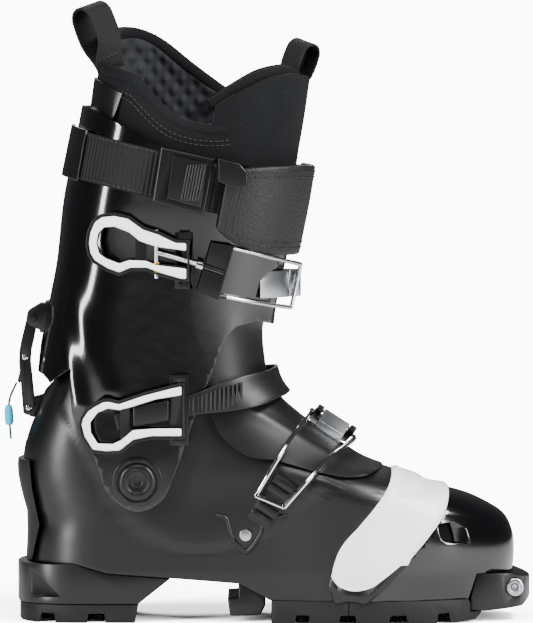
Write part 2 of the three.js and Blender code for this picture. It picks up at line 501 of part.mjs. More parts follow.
// Ankle buckle: lever, ratchet housing and ladder strap.
const ANKLE_SEAT = -(CUFF_HALF_WIDTH + STAND_OFF + 2.5);
const ANKLE_HINGE = { x: -56, y: ANKLE_SEAT - LEVER_THICK / 2 };
const ankleFrame = [[-53, 146], [-60.6, 144.5], [-78, 140], [-92.4, 135], [-101.4, 136.4],
  [-112.2, 130.5], [-116.5, 120.6],
  [-109, 103.6], [-91.2, 103.2], [-82.8, 110], [-72.6, 112], [-53, 112]];
const ankleSlot = [[-86, 118], [-50, 118.5], [-50, 139.5], [-70, 136], [-86, 131.5]];
const ankleGrip = [[-110.5, 121], [-106, 129], [-99, 131], [-91.5, 129.5], [-91.5, 112], [-96, 109],
  [-105, 109], [-109, 115]];
put("ankle_lever", leverPlate(ankleFrame, [ankleGrip, ankleSlot], ANKLE_SEAT)
  .subtract(hingePin(ANKLE_HINGE, 100, 160, PIN_ROOM)),
  WHITE_PLASTIC);
const LADDER_THICK = 2.6;
const LADDER_FACE = -(CUFF_HALF_WIDTH + 0.5 + LADDER_THICK);
put("ankle_buckle_base", hingeBase(ANKLE_HINGE.x, 112, 146, ANKLE_SEAT, -CUFF_HALF_WIDTH - GAP)
  .subtract(box(-70, LADDER_FACE - GAP, 117.5, -40, 0, 141)), SATIN_BLACK);
const LADDER_TILT = 0.21;
const ladderLine = (x) => 124 + LADDER_TILT * (x + 87);
const housing = prism([[-84, 119.2], [-62.6, 123.1], [-62.6, 135.4], [-84, 131.2]], ANKLE_SEAT - 3,
  ANKLE_SEAT + 4.2, 0.6);
const LADDER = { ...FOOT, rear: LEG.rear, front: eased([[115, 22], [127, 15], [134, 10], [140, 5],
  [147, 1.5], [160, -1.5]]),
  backRound: () => 45, frontRound: () => 50, halfWidth: () => CUFF_HALF_WIDTH + 0.5, centre: () => 0 };
const LADDER_LEVELS = [112, 120, 127, 134, 140, 147, 160];
const ladderForm = (offset) => loft(LADDER, LADDER_LEVELS, offset);
const ladderEdge = (x, half) => ladderLine(x) + half;
const ladderBand = [[-80, ladderEdge(-80, 5)], [-40, ladderEdge(-40, 6.5)], [-28, ladderEdge(-28, 8)],
  [12, ladderEdge(12, 9)],
  [12, ladderEdge(12, -9)], [-28, ladderEdge(-28, -8)], [-40, ladderEdge(-40, -6.5)],
    [-80, ladderEdge(-80, -5)]];
const ladder = ladderForm(LADDER_THICK).subtract(ladderForm(0)).intersect(prism(ladderBand));
put("ankle_ladder_strap", ladder, SATIN_BLACK);
put("ankle_ratchet", housing.subtract(box(-90, LADDER_FACE - GAP, 112, -56, 0, 140)), SATIN_BLACK);
put("ankle_strap_anchor", rivet(-70, GAP - LADDER_FACE, ladderLine(-70), 1, 4.5, 2, 0), STEEL);

// Instep buckle, built on the ridge of the foot: along the ridge, across to the inner side, and out.
const RIDGE_TILT = THREE.MathUtils.degToRad(32.6);
const RIDGE = new THREE.Vector3(33, 0, 112.5);
const along = new THREE.Vector3(Math.cos(RIDGE_TILT), 0, -Math.sin(RIDGE_TILT));
const out = new THREE.Vector3(Math.sin(RIDGE_TILT), 0, Math.cos(RIDGE_TILT));
const ridge = (u, v, w) => RIDGE.clone().addScaledVector(along, u).addScaledVector(out, w)
  .add(new THREE.Vector3(0, v, 0)).toArray();
const INSTEP_HINGE = { v: -3, w: 9 };
const INSTEP_HALF = 13.5;
const FORK_ROOM = 9.6; // half of the room between the forks
const BAIL_HALF = 15.2; // the bail's wires run outside the forks
const ridgeFrame = new THREE.Matrix4().makeBasis(along, new THREE.Vector3(0, 1, 0),
  out).setPosition(RIDGE);
function ridgeSolid(geometry) {
  return solid(geometry.applyMatrix4(ridgeFrame));
}
const ridgePlate = (points, low, high, tilt = 0, pivot = INSTEP_HINGE) =>
  ridgeSolid(new THREE.ExtrudeGeometry(shapeOf(points), { depth: high - low, bevelEnabled: false })
    .translate(0, -pivot.v, low - pivot.w).rotateX(tilt).translate(0, pivot.v, pivot.w));
const ridgePin = (v, w, half, radius) => pin(ridge(-half, v, w), ridge(half, v, w), radius);
const INSTEP_DROOP = -0.28; // the lever follows the inner side down
const BAIL_ARM = 13;
const bailHole = [INSTEP_HINGE.v + BAIL_ARM * Math.cos(INSTEP_DROOP),
  INSTEP_HINGE.w + BAIL_ARM * Math.sin(INSTEP_DROOP)];
const LEVER_MID = INSTEP_HINGE.w;
function instepLever() {
  const frame = [[-INSTEP_HALF, -6], [-INSTEP_HALF, 26], [-8, 34], [8, 34], [INSTEP_HALF, 26],
    [INSTEP_HALF, -6],
    [FORK_ROOM, -6], [FORK_ROOM, 17], [-FORK_ROOM, 17], [-FORK_ROOM, -6]];
  const window = [[-6.5, 20.5], [6.5, 20.5], [5, 29], [-5, 29]];
  const plate = ridgePlate(frame, LEVER_MID - 2, LEVER_MID + 2, INSTEP_DROOP)
    .subtract(ridgePlate(window, 0, 20, INSTEP_DROOP));
  return plate.subtract(ridgePin(INSTEP_HINGE.v, INSTEP_HINGE.w, 30, PIN_R + PIN_ROOM))
    .subtract(ridgePin(...bailHole, 30, PIN_R + PIN_ROOM));
}
put("instep_lever", instepLever(), SATIN_BLACK);
const tongueSkin = foot(TONGUE_WALL + 2 * GAP);
const INSTEP_BASE_HALF = 8.6;
const baseRow = (from, to) => [[-INSTEP_BASE_HALF, from], [-INSTEP_BASE_HALF, to], [INSTEP_BASE_HALF, to],
  [INSTEP_BASE_HALF, from]];
put("instep_buckle_base", join(ridgePlate(baseRow(-10, 6), -8, 3.4), ridgePlate(baseRow(-6, 0), 3, 11))
  .subtract(tongueSkin)
  .subtract(ridgePin(INSTEP_HINGE.v, INSTEP_HINGE.w, 30, PIN_R + PIN_ROOM)), STEEL);
put("instep_lever_pin", ridgePin(INSTEP_HINGE.v, INSTEP_HINGE.w, INSTEP_HALF, PIN_R), STEEL);
// down the shell's side, and across
const rackAt = (u, v) => [-1 - 0.54 * u + 0.84 * v, 74 - 0.84 * u - 0.54 * v];
const WIRE_SKIN = 7;
function instepBail() {
  const route = (u, shoulder, middle, end) => {
    const start = ridge(u, bailHole[0], bailHole[1]);
    return wire([start, ridge(u, -8, 4.6), onSide(FOOT, ...shoulder, WIRE_SKIN),
      onSide(FOOT, ...middle, WIRE_SKIN - 1), end], WIRE_R, 9, 4);
  };
  const [rear, front] = [onSide(FOOT, -10.8, 77.5, WIRE_SKIN - 0.5),
    onSide(FOOT, 6.4, 70.5, WIRE_SKIN - 0.5)];
  const rearWire = route(-BAIL_HALF, [11, 112], [-1, 94], rear);
  const frontWire = route(BAIL_HALF, [31, 98], [18, 84], front);
  return join(rearWire, frontWire, wire([rear, front], WIRE_R, 1, 4),
    ridgePin(...bailHole, BAIL_HALF + 1, PIN_R));
}
put("instep_bail", instepBail(), CHROME);
const rackPatch = (from, to, half) => prism([rackAt(from, -half), rackAt(from, half), rackAt(to, half),
  rackAt(to, -half)], -ACROSS, 0);
const rackPlate = foot(3).subtract(foot(GAP)).intersect(rackPatch(-16, 16, 7.5));
const rackRelief = foot(5.6).subtract(foot(2.6));
put("instep_rack", join(rackPlate, ...[-15, -9, 3.6,
  9.6].map((u) => rackRelief.intersect(rackPatch(u, u + 4, 6.5)))), SATIN_BLACK);
put("instep_rivet", rivet(...onSide(FOOT, -16.8, 53.4, 5 * GAP), -1, 4.2, 2, 0), STEEL);

// ---------- power strap ----------
const STRAP_TILT = -0.235;
const strapLine = (x) => 280 + STRAP_TILT * (x + 113);
const strapBand = (from, to, half) => [[from, strapLine(from) - half], [to, strapLine(to) - half],
  [to, strapLine(to) + half],
  [from, strapLine(from) + half]];
const webbing = leg(GAP + STRAP_THICKNESS).subtract(leg(GAP))
  .intersect(prism(strapBand(-170, 60, STRAP_WIDTH / 2)));
put("power_strap", webbing.subtract(box(-60, -90, 200, 2, 0, 330)), FABRIC);
const keeperBand = leg(2 * GAP + STRAP_THICKNESS + 1.8).subtract(leg(2 * GAP + STRAP_THICKNESS));
put("strap_keeper", keeperBand.intersect(prism(strapBand(-170, -97, STRAP_WIDTH / 2 + 1)))
  .intersect(box(-170, -90, 200, -97, 12, 330)), SATIN_BLACK);
const CAM_SEAT = -(legCentre(288) + GAP + STRAP_THICKNESS + GAP);
put("strap_cam_frame", prism([[-67, 286.5], [-35.4, 279.4], [-41.5, 245.6], [-72, 254]], CAM_SEAT - 3,
  CAM_SEAT, 0.6)
  .subtract(prism([[-60, 281], [-41, 276.5], [-45, 251.5], [-63.5, 257]])), SATIN_BLACK);
const CAM_HINGE = { x: -60, y: CAM_SEAT - 5.6 };
const camAxis = (z) => [CAM_HINGE.x + 0.133 * (z - 268), CAM_HINGE.y, z];
put("strap_cam", prism([[-60.2, 281.5], [-39.5, 276.5], [-43.5, 250.5], [-63.6, 256]], CAM_SEAT - 7.4,
  CAM_SEAT - 3.8, 0.6)
  .subtract(pin(camAxis(245), camAxis(295), PIN_R + PIN_ROOM)), SATIN_BLACK);
put("strap_cam_pin", pin(camAxis(257), camAxis(280)), STEEL);
const PAD_THICK = 5;
const padInner = GAP * 2 + STRAP_THICKNESS;
const padOutline = curved([[-37, 258], [-34, 272], [-24, 274.4], [18, 275], [34, 270], [30, 221],
  [14, 220.5], [-10, 224], [-24, 231],
  [-37, 240], [-37, 258]], 22).slice(0, -1);
const padRing = leg(padInner + PAD_THICK).subtract(leg(padInner)).intersect(prism(padOutline));
put("power_strap_pad", padRing.subtract(box(-60, -10, 200, 9.5, 90, 330))
  .subtract(box(0, 26, 200, 60, 90, 330)), FABRIC);
put("strap_hook", prism([[-33, 280], [-20, 276.5], [-15.5, 271], [-15.5, 263], [-24, 262], [-33, 266]],
  CAM_SEAT - 6.4, CAM_SEAT - 3.8, 0.5)
  .subtract(leg(padInner + PAD_THICK + GAP)), SATIN_BLACK);

// ---------- walk mechanism on the spine ----------
const LINK = { x: -148.2, z: 127.2 };
const LATCH = { x: -150.4, z: 157.8 };
const PLAIN_PIN = 1.6;
const acrossPin = (x, z, half, radius) => wire([[x, -half, z], [x, half, z]], radius, 1, 6);
const linkSide = curved([[-151.3, 124], [-148, 122.8], [-145, 125], [-145.4, 140], [-147, 158],
  [-144.2, 172], [-143.2, 183], [-147.2, 185],
  [-151, 174], [-153.8, 160], [-152.8, 142], [-151.3, 124]], 26).slice(0, -1);
const linkWeb = prism([[-151.6, 165.5], [-147.2, 165.5], [-146.6, 171], [-151, 171]], -5, 5);
put("walk_link", join(prism(linkSide, -LINK_OUTER, -LINK_INNER), prism(linkSide, LINK_INNER, LINK_OUTER),
  linkWeb)
  .subtract(acrossPin(LINK.x, LINK.z, 12, PLAIN_PIN + PIN_ROOM))
    .subtract(acrossPin(LATCH.x, LATCH.z, 12, PLAIN_PIN + PIN_ROOM)), SATIN_BLACK);
const lugSide = [[-134, 119], [-147, 121.8], [-151.4, 125], [-151.4, 130], [-148, 133], [-134, 137]];
put("walk_lug", prism(lugSide, -LINK_INNER + 0.4, LINK_INNER - 0.4).subtract(foot(GAP))
  .subtract(acrossPin(LINK.x, LINK.z, 12, PLAIN_PIN + PIN_ROOM)), SATIN_BLACK);
put("walk_link_pin", acrossPin(LINK.x, LINK.z, LINK_OUTER + 1, PLAIN_PIN), STEEL);
put("walk_latch_pin", acrossPin(LATCH.x, LATCH.z, LINK_OUTER + 1, PLAIN_PIN), STEEL);
put("walk_latch", prism([[-152.6, 160], [-148.2, 160.2], [-148, 155], [-150.4, 148], [-153.6, 141.6],
  [-155, 143.6], [-152.8, 152]], -3.6, 3.6)
  .subtract(acrossPin(LATCH.x, LATCH.z, 12, PLAIN_PIN + PIN_ROOM)), SATIN_BLACK);
put("walk_spring", solid(new THREE.CylinderGeometry(1.7, 1.7, 4, 12).rotateX(Math.PI / 2)
  .translate(-149.6, 0, 162.9)), CHROME);
const bracketSide = [[-130, 190], [-141, 190.5], [-148.4, 186], [-149.4, 181], [-147.4, 177.4],
  [-140, 174], [-130, 172]];
const bracketCheeks = join(prism(bracketSide, -10.2, -LINK_OUTER - 1),
  prism(bracketSide, LINK_OUTER + 1, 10.2));
const bracketFoot = leg(3).intersect(box(-160, -10, 173, -120, 10, 192));
put("walk_bracket", join(bracketCheeks, bracketFoot,
  ...[-1, 1].map((side) => rivet(-145.4, side * 10, 181.8, side, 2.6, 1.4, 1)))
  .subtract(leg(GAP)), SATIN_BLACK);
const cordLine = curved([[-155.4, 142.4], [-157, 139], [-159.4, 133.5], [-160.4, 126], [-159.8, 118],
  [-159, 108]], 17);
put("walk_cord", wire(cordLine.map(([x, z]) => [x, 0, z]), CORD_R, 17, 4), FABRIC);
const BEAD_LENGTH = 12;
const beadProfile = [[CORD_R + 0.4, 0], [2, 0], [2.7, 2], [2.7, 9], [1.9, BEAD_LENGTH],
  [CORD_R + 0.4, BEAD_LENGTH], [CORD_R + 0.4, 0]];
const bead = new THREE.LatheGeometry(beadProfile.map(([r, h]) => new THREE.Vector2(r, h)), 16)
  .rotateX(Math.PI / 2);
put("walk_bead", solid(bead.rotateY(-0.04).translate(-159.95, 0, 116.5)), CYAN_PLASTIC);

// ---------- assembly: one group for each body that moves on its own ----------
const BODIES = {
  toe: ["toe_shell", "toe_outsole", "toe_block", "tech_insert_lateral", "tech_insert_medial"],
  cuff: ["cuff", "rear_spoiler", "liner_cuff", "liner_tongue", "rear_pull_loop", "front_pull_loop",
    "cuff_buckle_base", "cuff_catch",
    "ankle_buckle_base", "ankle_ladder_strap", "ankle_ratchet", "ankle_strap_anchor", "power_strap",
      "strap_keeper",
    "strap_cam_frame", "strap_cam_pin", "power_strap_pad", "strap_hook", "walk_bracket"],
  cuff_lever: ["cuff_lever"],
  cuff_bail: ["cuff_rod", "cuff_bail"],
  ankle_lever: ["ankle_lever"],
  instep_lever: ["instep_lever"],
  instep_bail: ["instep_bail"],
  strap_cam: ["strap_cam"],
  walk_link: ["walk_link", "walk_link_pin", "walk_latch_pin", "walk_spring"],
  walk_latch: ["walk_latch", "walk_cord", "walk_bead"],
};
const boot = new THREE.Group();
const moving = new Set(Object.values(BODIES).flat());
BODIES.shell = Object.keys(pieces).filter((name) => !moving.has(name));
const FREE_CORD = ["walk_cord", "walk_bead"];
const reach = new THREE.Box3();
for (const [body, names] of Object.entries(BODIES)) {
  const group = new THREE.Group();
  group.name = body;
  for (const name of names) {
    const mesh = new THREE.Mesh(geometryOf(pieces[name].shape), pieces[name].material);
    mesh.name = name;
    group.add(mesh);
    if (!FREE_CORD.includes(name)) reach.union(new THREE.Box3().setFromObject(mesh));
  }
  boot.add(group);
}
// The origin is the bottom centre of the box round the boot, without its free cord.
const middle = reach.getCenter(new THREE.Vector3());
boot.position.set(-middle.x, -middle.y, -reach.min.z);

export default boot;
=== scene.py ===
# Alpine touring boot: the looks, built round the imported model.
# Shapes are given in millimetres and placed in metres. +X is the toe, -Y the outer side, +Z up.
import json
import math

import bmesh
import bpy
from mathutils import Matrix, Vector

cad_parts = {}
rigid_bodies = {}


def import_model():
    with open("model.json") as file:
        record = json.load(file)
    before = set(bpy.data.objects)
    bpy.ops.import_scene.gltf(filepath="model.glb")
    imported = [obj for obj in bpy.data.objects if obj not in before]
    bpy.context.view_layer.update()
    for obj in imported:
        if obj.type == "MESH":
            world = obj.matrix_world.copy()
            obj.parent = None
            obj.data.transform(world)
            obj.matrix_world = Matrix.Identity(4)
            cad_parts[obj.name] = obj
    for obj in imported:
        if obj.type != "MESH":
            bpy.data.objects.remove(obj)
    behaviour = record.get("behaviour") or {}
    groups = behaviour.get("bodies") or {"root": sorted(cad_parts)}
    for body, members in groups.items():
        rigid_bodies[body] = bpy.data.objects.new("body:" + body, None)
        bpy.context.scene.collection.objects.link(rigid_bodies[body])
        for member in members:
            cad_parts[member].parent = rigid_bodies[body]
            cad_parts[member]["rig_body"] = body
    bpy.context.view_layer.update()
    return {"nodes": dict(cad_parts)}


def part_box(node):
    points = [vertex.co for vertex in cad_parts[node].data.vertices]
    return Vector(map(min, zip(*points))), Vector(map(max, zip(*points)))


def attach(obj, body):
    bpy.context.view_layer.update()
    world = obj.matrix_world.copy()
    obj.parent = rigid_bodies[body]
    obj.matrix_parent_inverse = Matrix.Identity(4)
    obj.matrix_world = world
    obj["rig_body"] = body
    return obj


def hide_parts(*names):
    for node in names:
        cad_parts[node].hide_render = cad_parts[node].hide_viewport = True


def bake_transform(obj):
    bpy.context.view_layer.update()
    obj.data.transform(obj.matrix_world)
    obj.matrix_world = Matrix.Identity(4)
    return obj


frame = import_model()
nodes = frame["nodes"]
MM = 0.001
SIDE = sum(corner.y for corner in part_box("second_heel")) / 2  # the boot's middle plane
SOLE_LENGTH = 310.0
HEEL_X, TOE_X = -SOLE_LENGTH / 2, SOLE_LENGTH / 2
PIVOT = Vector((-81.6, 0, 85.8))
SHELL_WALL, CUFF_WALL, TONGUE_WALL, GAP = 4.4, 4.0, 3.0, 0.35
CLEARANCE = 0.7
ANKLE_HALF = 41.5
CUFF_HALF = ANKLE_HALF + TONGUE_WALL + 2 * CLEARANCE + CUFF_WALL
LINING = CUFF_WALL + TONGUE_WALL + 2 * CLEARANCE
SOLE_HEIGHT, HEEL_TOP = 14.0, 35.4
FLEX_X = 45.0
CUFF_TOP = 310.0
STRAP_THICK = 2.2
CORD_R = 0.75
BUSH_HOLE_R = 8.35
LINK_NOTCH = 8.4  # half of the cuff's notch for the walk link
FAR = 95.0  # half of a cutter's width


# ---------- camera, floor and light ----------
VIEW_HEIGHT = 0.3768
VIEW_ELEVATION = math.radians(3)
VIEW_CENTRE = Vector((-0.0043, SIDE, 0.1852))
CAMERA_DISTANCE = 4.0
SENSOR = 36.0
ROOM_LIGHT = 0.07  # what the white room gives the boot
BACKDROP_LIGHT = 14.0  # clips to paper white


def make_camera():
    """A long lens a little above the boot, looking square at its outer side."""
    data = bpy.data.cameras.new("camera")
    data.sensor_width = SENSOR
    data.lens = SENSOR * CAMERA_DISTANCE / VIEW_HEIGHT
    camera = bpy.data.objects.new("camera", data)
    bpy.context.scene.collection.objects.link(camera)
    back = Vector((0, -math.cos(VIEW_ELEVATION), math.sin(VIEW_ELEVATION)))
    camera.location = VIEW_CENTRE + back * CAMERA_DISTANCE
    camera.rotation_euler = (math.pi / 2 - VIEW_ELEVATION, 0, 0)
    bpy.context.scene.camera = camera


def srgb(code):
    """The linear colour of a hex code."""
    parts = [int(code[i : i + 2], 16) / 255 for i in (0, 2, 4)]
    return tuple(p / 12.92 if p <= 0.04045 else ((p + 0.055) / 1.055) ** 2.4 for p in parts) + (1.0,)


def add(tree, kind, inputs=None, **settings):
    """Adds one shader node with its settings; an input is a value or the socket that feeds it."""
    made = tree.nodes.new("ShaderNode" + kind)
    for name, value in settings.items():
        setattr(made, name, value)
    for name, value in (inputs or {}).items():
        socket = made.inputs[name]
        if isinstance(value, bpy.types.NodeSocket):
            tree.links.new(value, socket)
        else:
            socket.default_value = value
    return made


def area_light(name, place, target, width, power, height):
    """A rectangular lamp at a place, turned to its target."""
    data = bpy.data.lights.new(name, "AREA")
    data.energy = power
    data.shape = "RECTANGLE"
    data.size = width
    data.size_y = height
    light = bpy.data.objects.new(name, data)
    light.location = place
    light.rotation_euler = (Vector(target) - Vector(place)).to_track_quat("-Z", "Y").to_euler()
    bpy.context.scene.collection.objects.link(light)


def make_light():
    """A white studio: the eye sees a bright backdrop, and the boot is lit by strips and soft boxes."""
    world = bpy.data.worlds.new("studio")
    bpy.context.scene.world = world
    world.use_nodes = True
    tree = world.node_tree
    room = tree.nodes["Background"]
    room.inputs["Color"].default_value = (0.92, 0.95, 1, 1)
    room.inputs["Strength"].default_value = ROOM_LIGHT
    backdrop = add(tree, "Background", {"Strength": BACKDROP_LIGHT}).outputs["Background"]
    sight = add(tree, "LightPath").outputs["Is Camera Ray"]
    choice = add(tree, "MixShader", {"Fac": sight, 1: room.outputs["Background"], 2: backdrop})
    tree.links.new(choice.outputs["Shader"], tree.nodes["World Output"].inputs["Surface"])
    middle = (0, SIDE, 0.18)
    area_light("rear_strip", (-0.95, -0.75, 0.45), middle, 0.16, 26, 1.1)
    area_light("front_strip", (0.95, -0.75, 0.55), middle, 0.14, 19, 0.9)
    area_light("key_box", (-0.15, -1.0, 1.4), middle, 0.8, 15, 0.5)
    area_light("toe_box_light", (0.75, -0.35, 0.95), (0.1, SIDE, 0.06), 0.45, 18, 0.25)
    area_light("back_box", (-0.2, 1.1, 1.0), middle, 0.9, 12, 0.6)


def make_floor():
    """A white sweep that only takes the boot's shadow."""
    bm = bmesh.new()
    bmesh.ops.create_grid(bm, x_segments=1, y_segments=1, size=1.5)
    mesh = bpy.data.meshes.new("floor")
    bm.to_mesh(mesh)
    bm.free()
    floor = bpy.data.objects.new("floor", mesh)
    bpy.context.scene.collection.objects.link(floor)
    floor.is_shadow_catcher = True


# ---------- materials ----------
PATCH_MM = 30  # the width of the slow patches of tone
WAVE_MM = 14  # the waviness of moulded plastic


def finish(name, base, roughness, **sockets):
    """A material with its shader, object coordinates, and slow patches between two hex colours."""
    material = bpy.data.materials.new(name)
    material.use_nodes = True
    tree = material.node_tree
    shader = tree.nodes["Principled BSDF"]
    place = add(tree, "TexCoord").outputs["Object"]
    patch = {"Vector": place, "Scale": 1 / (PATCH_MM * MM), "Detail": 3.0}
    patches = add(tree, "TexNoise", patch).outputs["Fac"]
    tones = {"Factor": patches, "A": srgb(base[0]), "B": srgb(base[1])}
    tree.links.new(add(tree, "Mix", tones, data_type="RGBA").outputs["Result"], shader.inputs["Base Color"])
    span = {"Value": patches, "To Min": roughness[0], "To Max": roughness[1]}
    tree.links.new(add(tree, "MapRange", span).outputs["Result"], shader.inputs["Roughness"])
    for socket, value in sockets.items():
        shader.inputs[socket.replace("_", " ")].default_value = value
    return material, tree, shader, place


def moulded(name, base, roughness, grain_mm, depth_mm, **sockets):
    """Injection-moulded plastic: an even skin with a fine grain and a slow waviness where it cooled."""
    material, tree, shader, place = finish(name, base, roughness, **sockets)
    slow = {"Vector": place, "Scale": 1 / (WAVE_MM * MM), "Detail": 1.0}
    wave = add(tree, "TexNoise", slow).outputs["Fac"]
    cooled = add(tree, "Bump", {"Height": wave, "Distance": 0.12 * MM, "Strength": 0.5}).outputs["Normal"]
    fine = {"Vector": place, "Scale": 1 / (grain_mm * MM), "Detail": 2.0}
    grain = add(tree, "TexNoise", fine).outputs["Fac"]
    skin = {"Height": grain, "Distance": depth_mm * MM, "Strength": 1.0, "Normal": cooled}
    tree.links.new(add(tree, "Bump", skin).outputs["Normal"], shader.inputs["Normal"])
    return material


def ribs(tree, place, spacing_mm, turn, axis):
    """Even ribs across one axis, spaced in millimetres."""
    turned = add(tree, "Mapping", {"Vector": place, "Rotation": turn}).outputs["Vector"]
    scale = 2 * math.pi / 20 / (spacing_mm * MM)
    inputs = {"Vector": turned, "Scale": scale, "Distortion": 0.0}
    return add(tree, "TexWave", inputs, wave_type="BANDS", bands_direction=axis).outputs["Fac"]


def woven(name, base, roughness, rib_mm):
    """Braided or twisted yarn: fine ribs crossed by a finer weft, matte."""
    material, tree, shader, place = finish(name, base, roughness)
    warp = ribs(tree, place, rib_mm, (0, 0, 0), "Z")
    weft = ribs(tree, place, rib_mm * 0.6, (0, 0, 0), "X")
    cloth = add(tree, "Math", {0: warp, 1: weft}, operation="MULTIPLY").outputs[0]
    raised = add(tree, "Bump", {"Height": cloth, "Distance": 0.35 * MM, "Strength": 1.0})
    tree.links.new(raised.outputs["Normal"], shader.inputs["Normal"])
    return material


def ribbed_tape(name, base, rib_mm, depth_mm):
    """Heavy webbing: even ribs across the band, each a row of small weft knuckles, dull with worn tops."""
    material, tree, shader, _ = finish(name, base, (0.6, 0.85), Specular_IOR_Level=0.25)
    along = add(tree, "UVMap", uv_map="band").outputs["UV"]
    rib = ribs(tree, along, rib_mm, (0, 0, 0), "X")
    knuckle = ribs(tree, along, rib_mm * 0.5, (0, 0, 0), "Y")
    low = add(tree, "MapRange", {"Value": knuckle, "To Min": 0.65, "To Max": 1.0}).outputs["Result"]
    weave = add(tree, "Math", {0: rib, 1: low}, operation="MULTIPLY").outputs[0]
    raised = add(tree, "Bump", {"Height": weave, "Distance": depth_mm * MM, "Strength": 1.0})
    tree.links.new(raised.outputs["Normal"], shader.inputs["Normal"])
    return material


def diamond_lining():
    """Raised diamond knit on the inside of the liner: cells about 10 mm wide with soft grooves between."""
    base = ("2a2b2e", "1c1d20")
    sheen = {"Specular_IOR_Level": 0.2}
    material, tree, shader, place = finish("diamond_knit_lining", base, (0.75, 0.9), **sheen)
    one = ribs(tree, place, 8.0, (0, math.radians(38), 0), "X")
    other = ribs(tree, place, 8.0, (0, math.radians(-38), 0), "X")
    cell = add(tree, "Math", {0: one, 1: other}, operation="MULTIPLY").outputs[0]
    puffed = add(tree, "Bump", {"Height": cell, "Distance": 1.6 * MM, "Strength": 1.0}).outputs["Normal"]
    yarn = add(tree, "TexNoise", {"Vector": place, "Scale": 1 / (0.9 * MM), "Detail": 2.0}).outputs["Fac"]
    fuzz = {"Height": yarn, "Distance": 0.25 * MM, "Strength": 0.8, "Normal": puffed}
    tree.links.new(add(tree, "Bump", fuzz).outputs["Normal"], shader.inputs["Normal"])
    return material


def grained_leather():
    """Synthetic leather: small rounded cells pressed in the film, satin on their tops."""
    base = ("121314", "0b0c0d")
    satin = {"Specular_IOR_Level": 0.3}
    material, tree, shader, place = finish("grained_synthetic_leather", base, (0.45, 0.6), **satin)
    cells = add(tree, "TexVoronoi", {"Vector": place, "Scale": 1 / (1.5 * MM)}, feature="SMOOTH_F1")
    pressed = {"Height": cells.outputs["Distance"], "Distance": 0.35 * MM, "Strength": 0.8}
    tree.links.new(add(tree, "Bump", pressed).outputs["Normal"], shader.inputs["Normal"])
    return material


def liner_cloth():
    """Plain-woven polyester face on foam: crossed threads about 1 mm apart, very matte."""
    base = ("101113", "090a0b")
    dull = {"Specular_IOR_Level": 0.15}
    material, tree, shader, place = finish("woven_liner_face", base, (0.8, 0.95), **dull)
    warp = ribs(tree, place, 1.1, (0, math.radians(12), 0), "X")
    weft = ribs(tree, place, 1.1, (0, math.radians(12), 0), "Z")
    cloth = add(tree, "Math", {0: warp, 1: weft}, operation="MULTIPLY").outputs[0]
    raised = add(tree, "Bump", {"Height": cloth, "Distance": 0.3 * MM, "Strength": 1.0})
    tree.links.new(raised.outputs["Normal"], shader.inputs["Normal"])
    return material


def brushed(name, base, roughness):
    """Brushed metal: fine scratches along one way, drawn 0.5 mm apart so that they show."""
    material, tree, shader, place = finish(name, base, roughness, Metallic=1.0)
    drawn = add(tree, "Mapping", {"Vector": place, "Scale": (0.12, 1.0, 1.0)}).outputs["Vector"]
    lines = add(tree, "TexNoise", {"Vector": drawn, "Scale": 1 / (0.5 * MM), "Detail": 3.0}).outputs["Fac"]
    scratched = add(tree, "Bump", {"Height": lines, "Distance": 0.05 * MM, "Strength": 0.7})
    tree.links.new(scratched.outputs["Normal"], shader.inputs["Normal"])
    return material


# Cuff and toe box, polished in the mould and lacquered: near black, with long sharp highlights.
GLOSS = moulded("polished_black_polyamide", ("050506", "030304"), (0.1, 0.17), 3.0, 0.01, Coat_Weight=0.35)
# Lower shell and sole blocks, with the mould's fine texture: highlights are broad and soft.
SATIN = moulded("satin_black_polyamide", ("09090a", "060607"), (0.3, 0.4), 0.7, 0.03, Specular_IOR_Level=0.42)
# Glass-filled nylon of the buckles: black, with a slight grain.
HARD = moulded("black_nylon_hardware", ("080809", "050506"), (0.28, 0.4), 0.6, 0.02, Specular_IOR_Level=0.4)
# Softer plastic of the tongue: a shade greyer and duller than the shell.
TONGUE = moulded("dark_grey_tongue", ("0a0b0c", "070708"), (0.36, 0.48), 0.6, 0.04, Specular_IOR_Level=0.35)
# Bellows, moulded from a white elastomer: bright, with a soft satin skin.
BELLOWS = moulded("white_elastomer", ("f6f7f8", "eef0f2"), (0.3, 0.4), 0.9, 0.02)
# Sole rubber: dull black with a coarse grain.
RUBBER = moulded("carbon_black_rubber", ("0a0a0b", "050506"), (0.5, 0.68), 1.1, 0.1, Specular_IOR_Level=0.3)
# Lever bows, die-cast and enamelled white: smooth and bright, with a clear coat.
WHITE = moulded("white_enamelled_alloy", ("fafafa", "f2f3f4"), (0.2, 0.3), 1.2, 0.01, Coat_Weight=0.4)
# Ankle strap, moulded to bend: black, a little duller than the buckles.
STRAP = moulded("flexible_black_strap", ("0a0a0b", "060607"), (0.35, 0.5), 0.8, 0.03, Specular_IOR_Level=0.4)
# Bead on the pull cord: smooth, bright cyan plastic.
CYAN = moulded("cyan_moulded_bead", ("12b3d0", "0fa6c6"), (0.2, 0.3), 1.0, 0.02)
# Power strap, woven nylon: black ribs 2.6 mm apart that catch the light on their tops.
WEB = ribbed_tape("ribbed_nylon_webbing", ("0d0d0f", "070708"), 2.6, 0.7)
# Pull loops, a finer nylon tape: its ribs are half as far apart, and nearly flat.
LOOP_WEB = ribbed_tape("smooth_nylon_tape", ("0f0f11", "09090a"), 1.3, 0.25)
# Pull cord, a braided sleeve: dark teal and matte.
CORD = woven("braided_cord", ("174a55", "10343d"), (0.6, 0.8), 0.6)
# Liner, inside face: dark grey puffed diamonds that shade softly.
LINING_KNIT = diamond_lining()
# Power strap's pad: a fine pebbled film with a low, broken shine.
LEATHER = grained_leather()
# Liner, outside face: nearly black cloth with no shine.
FACE = liner_cloth()
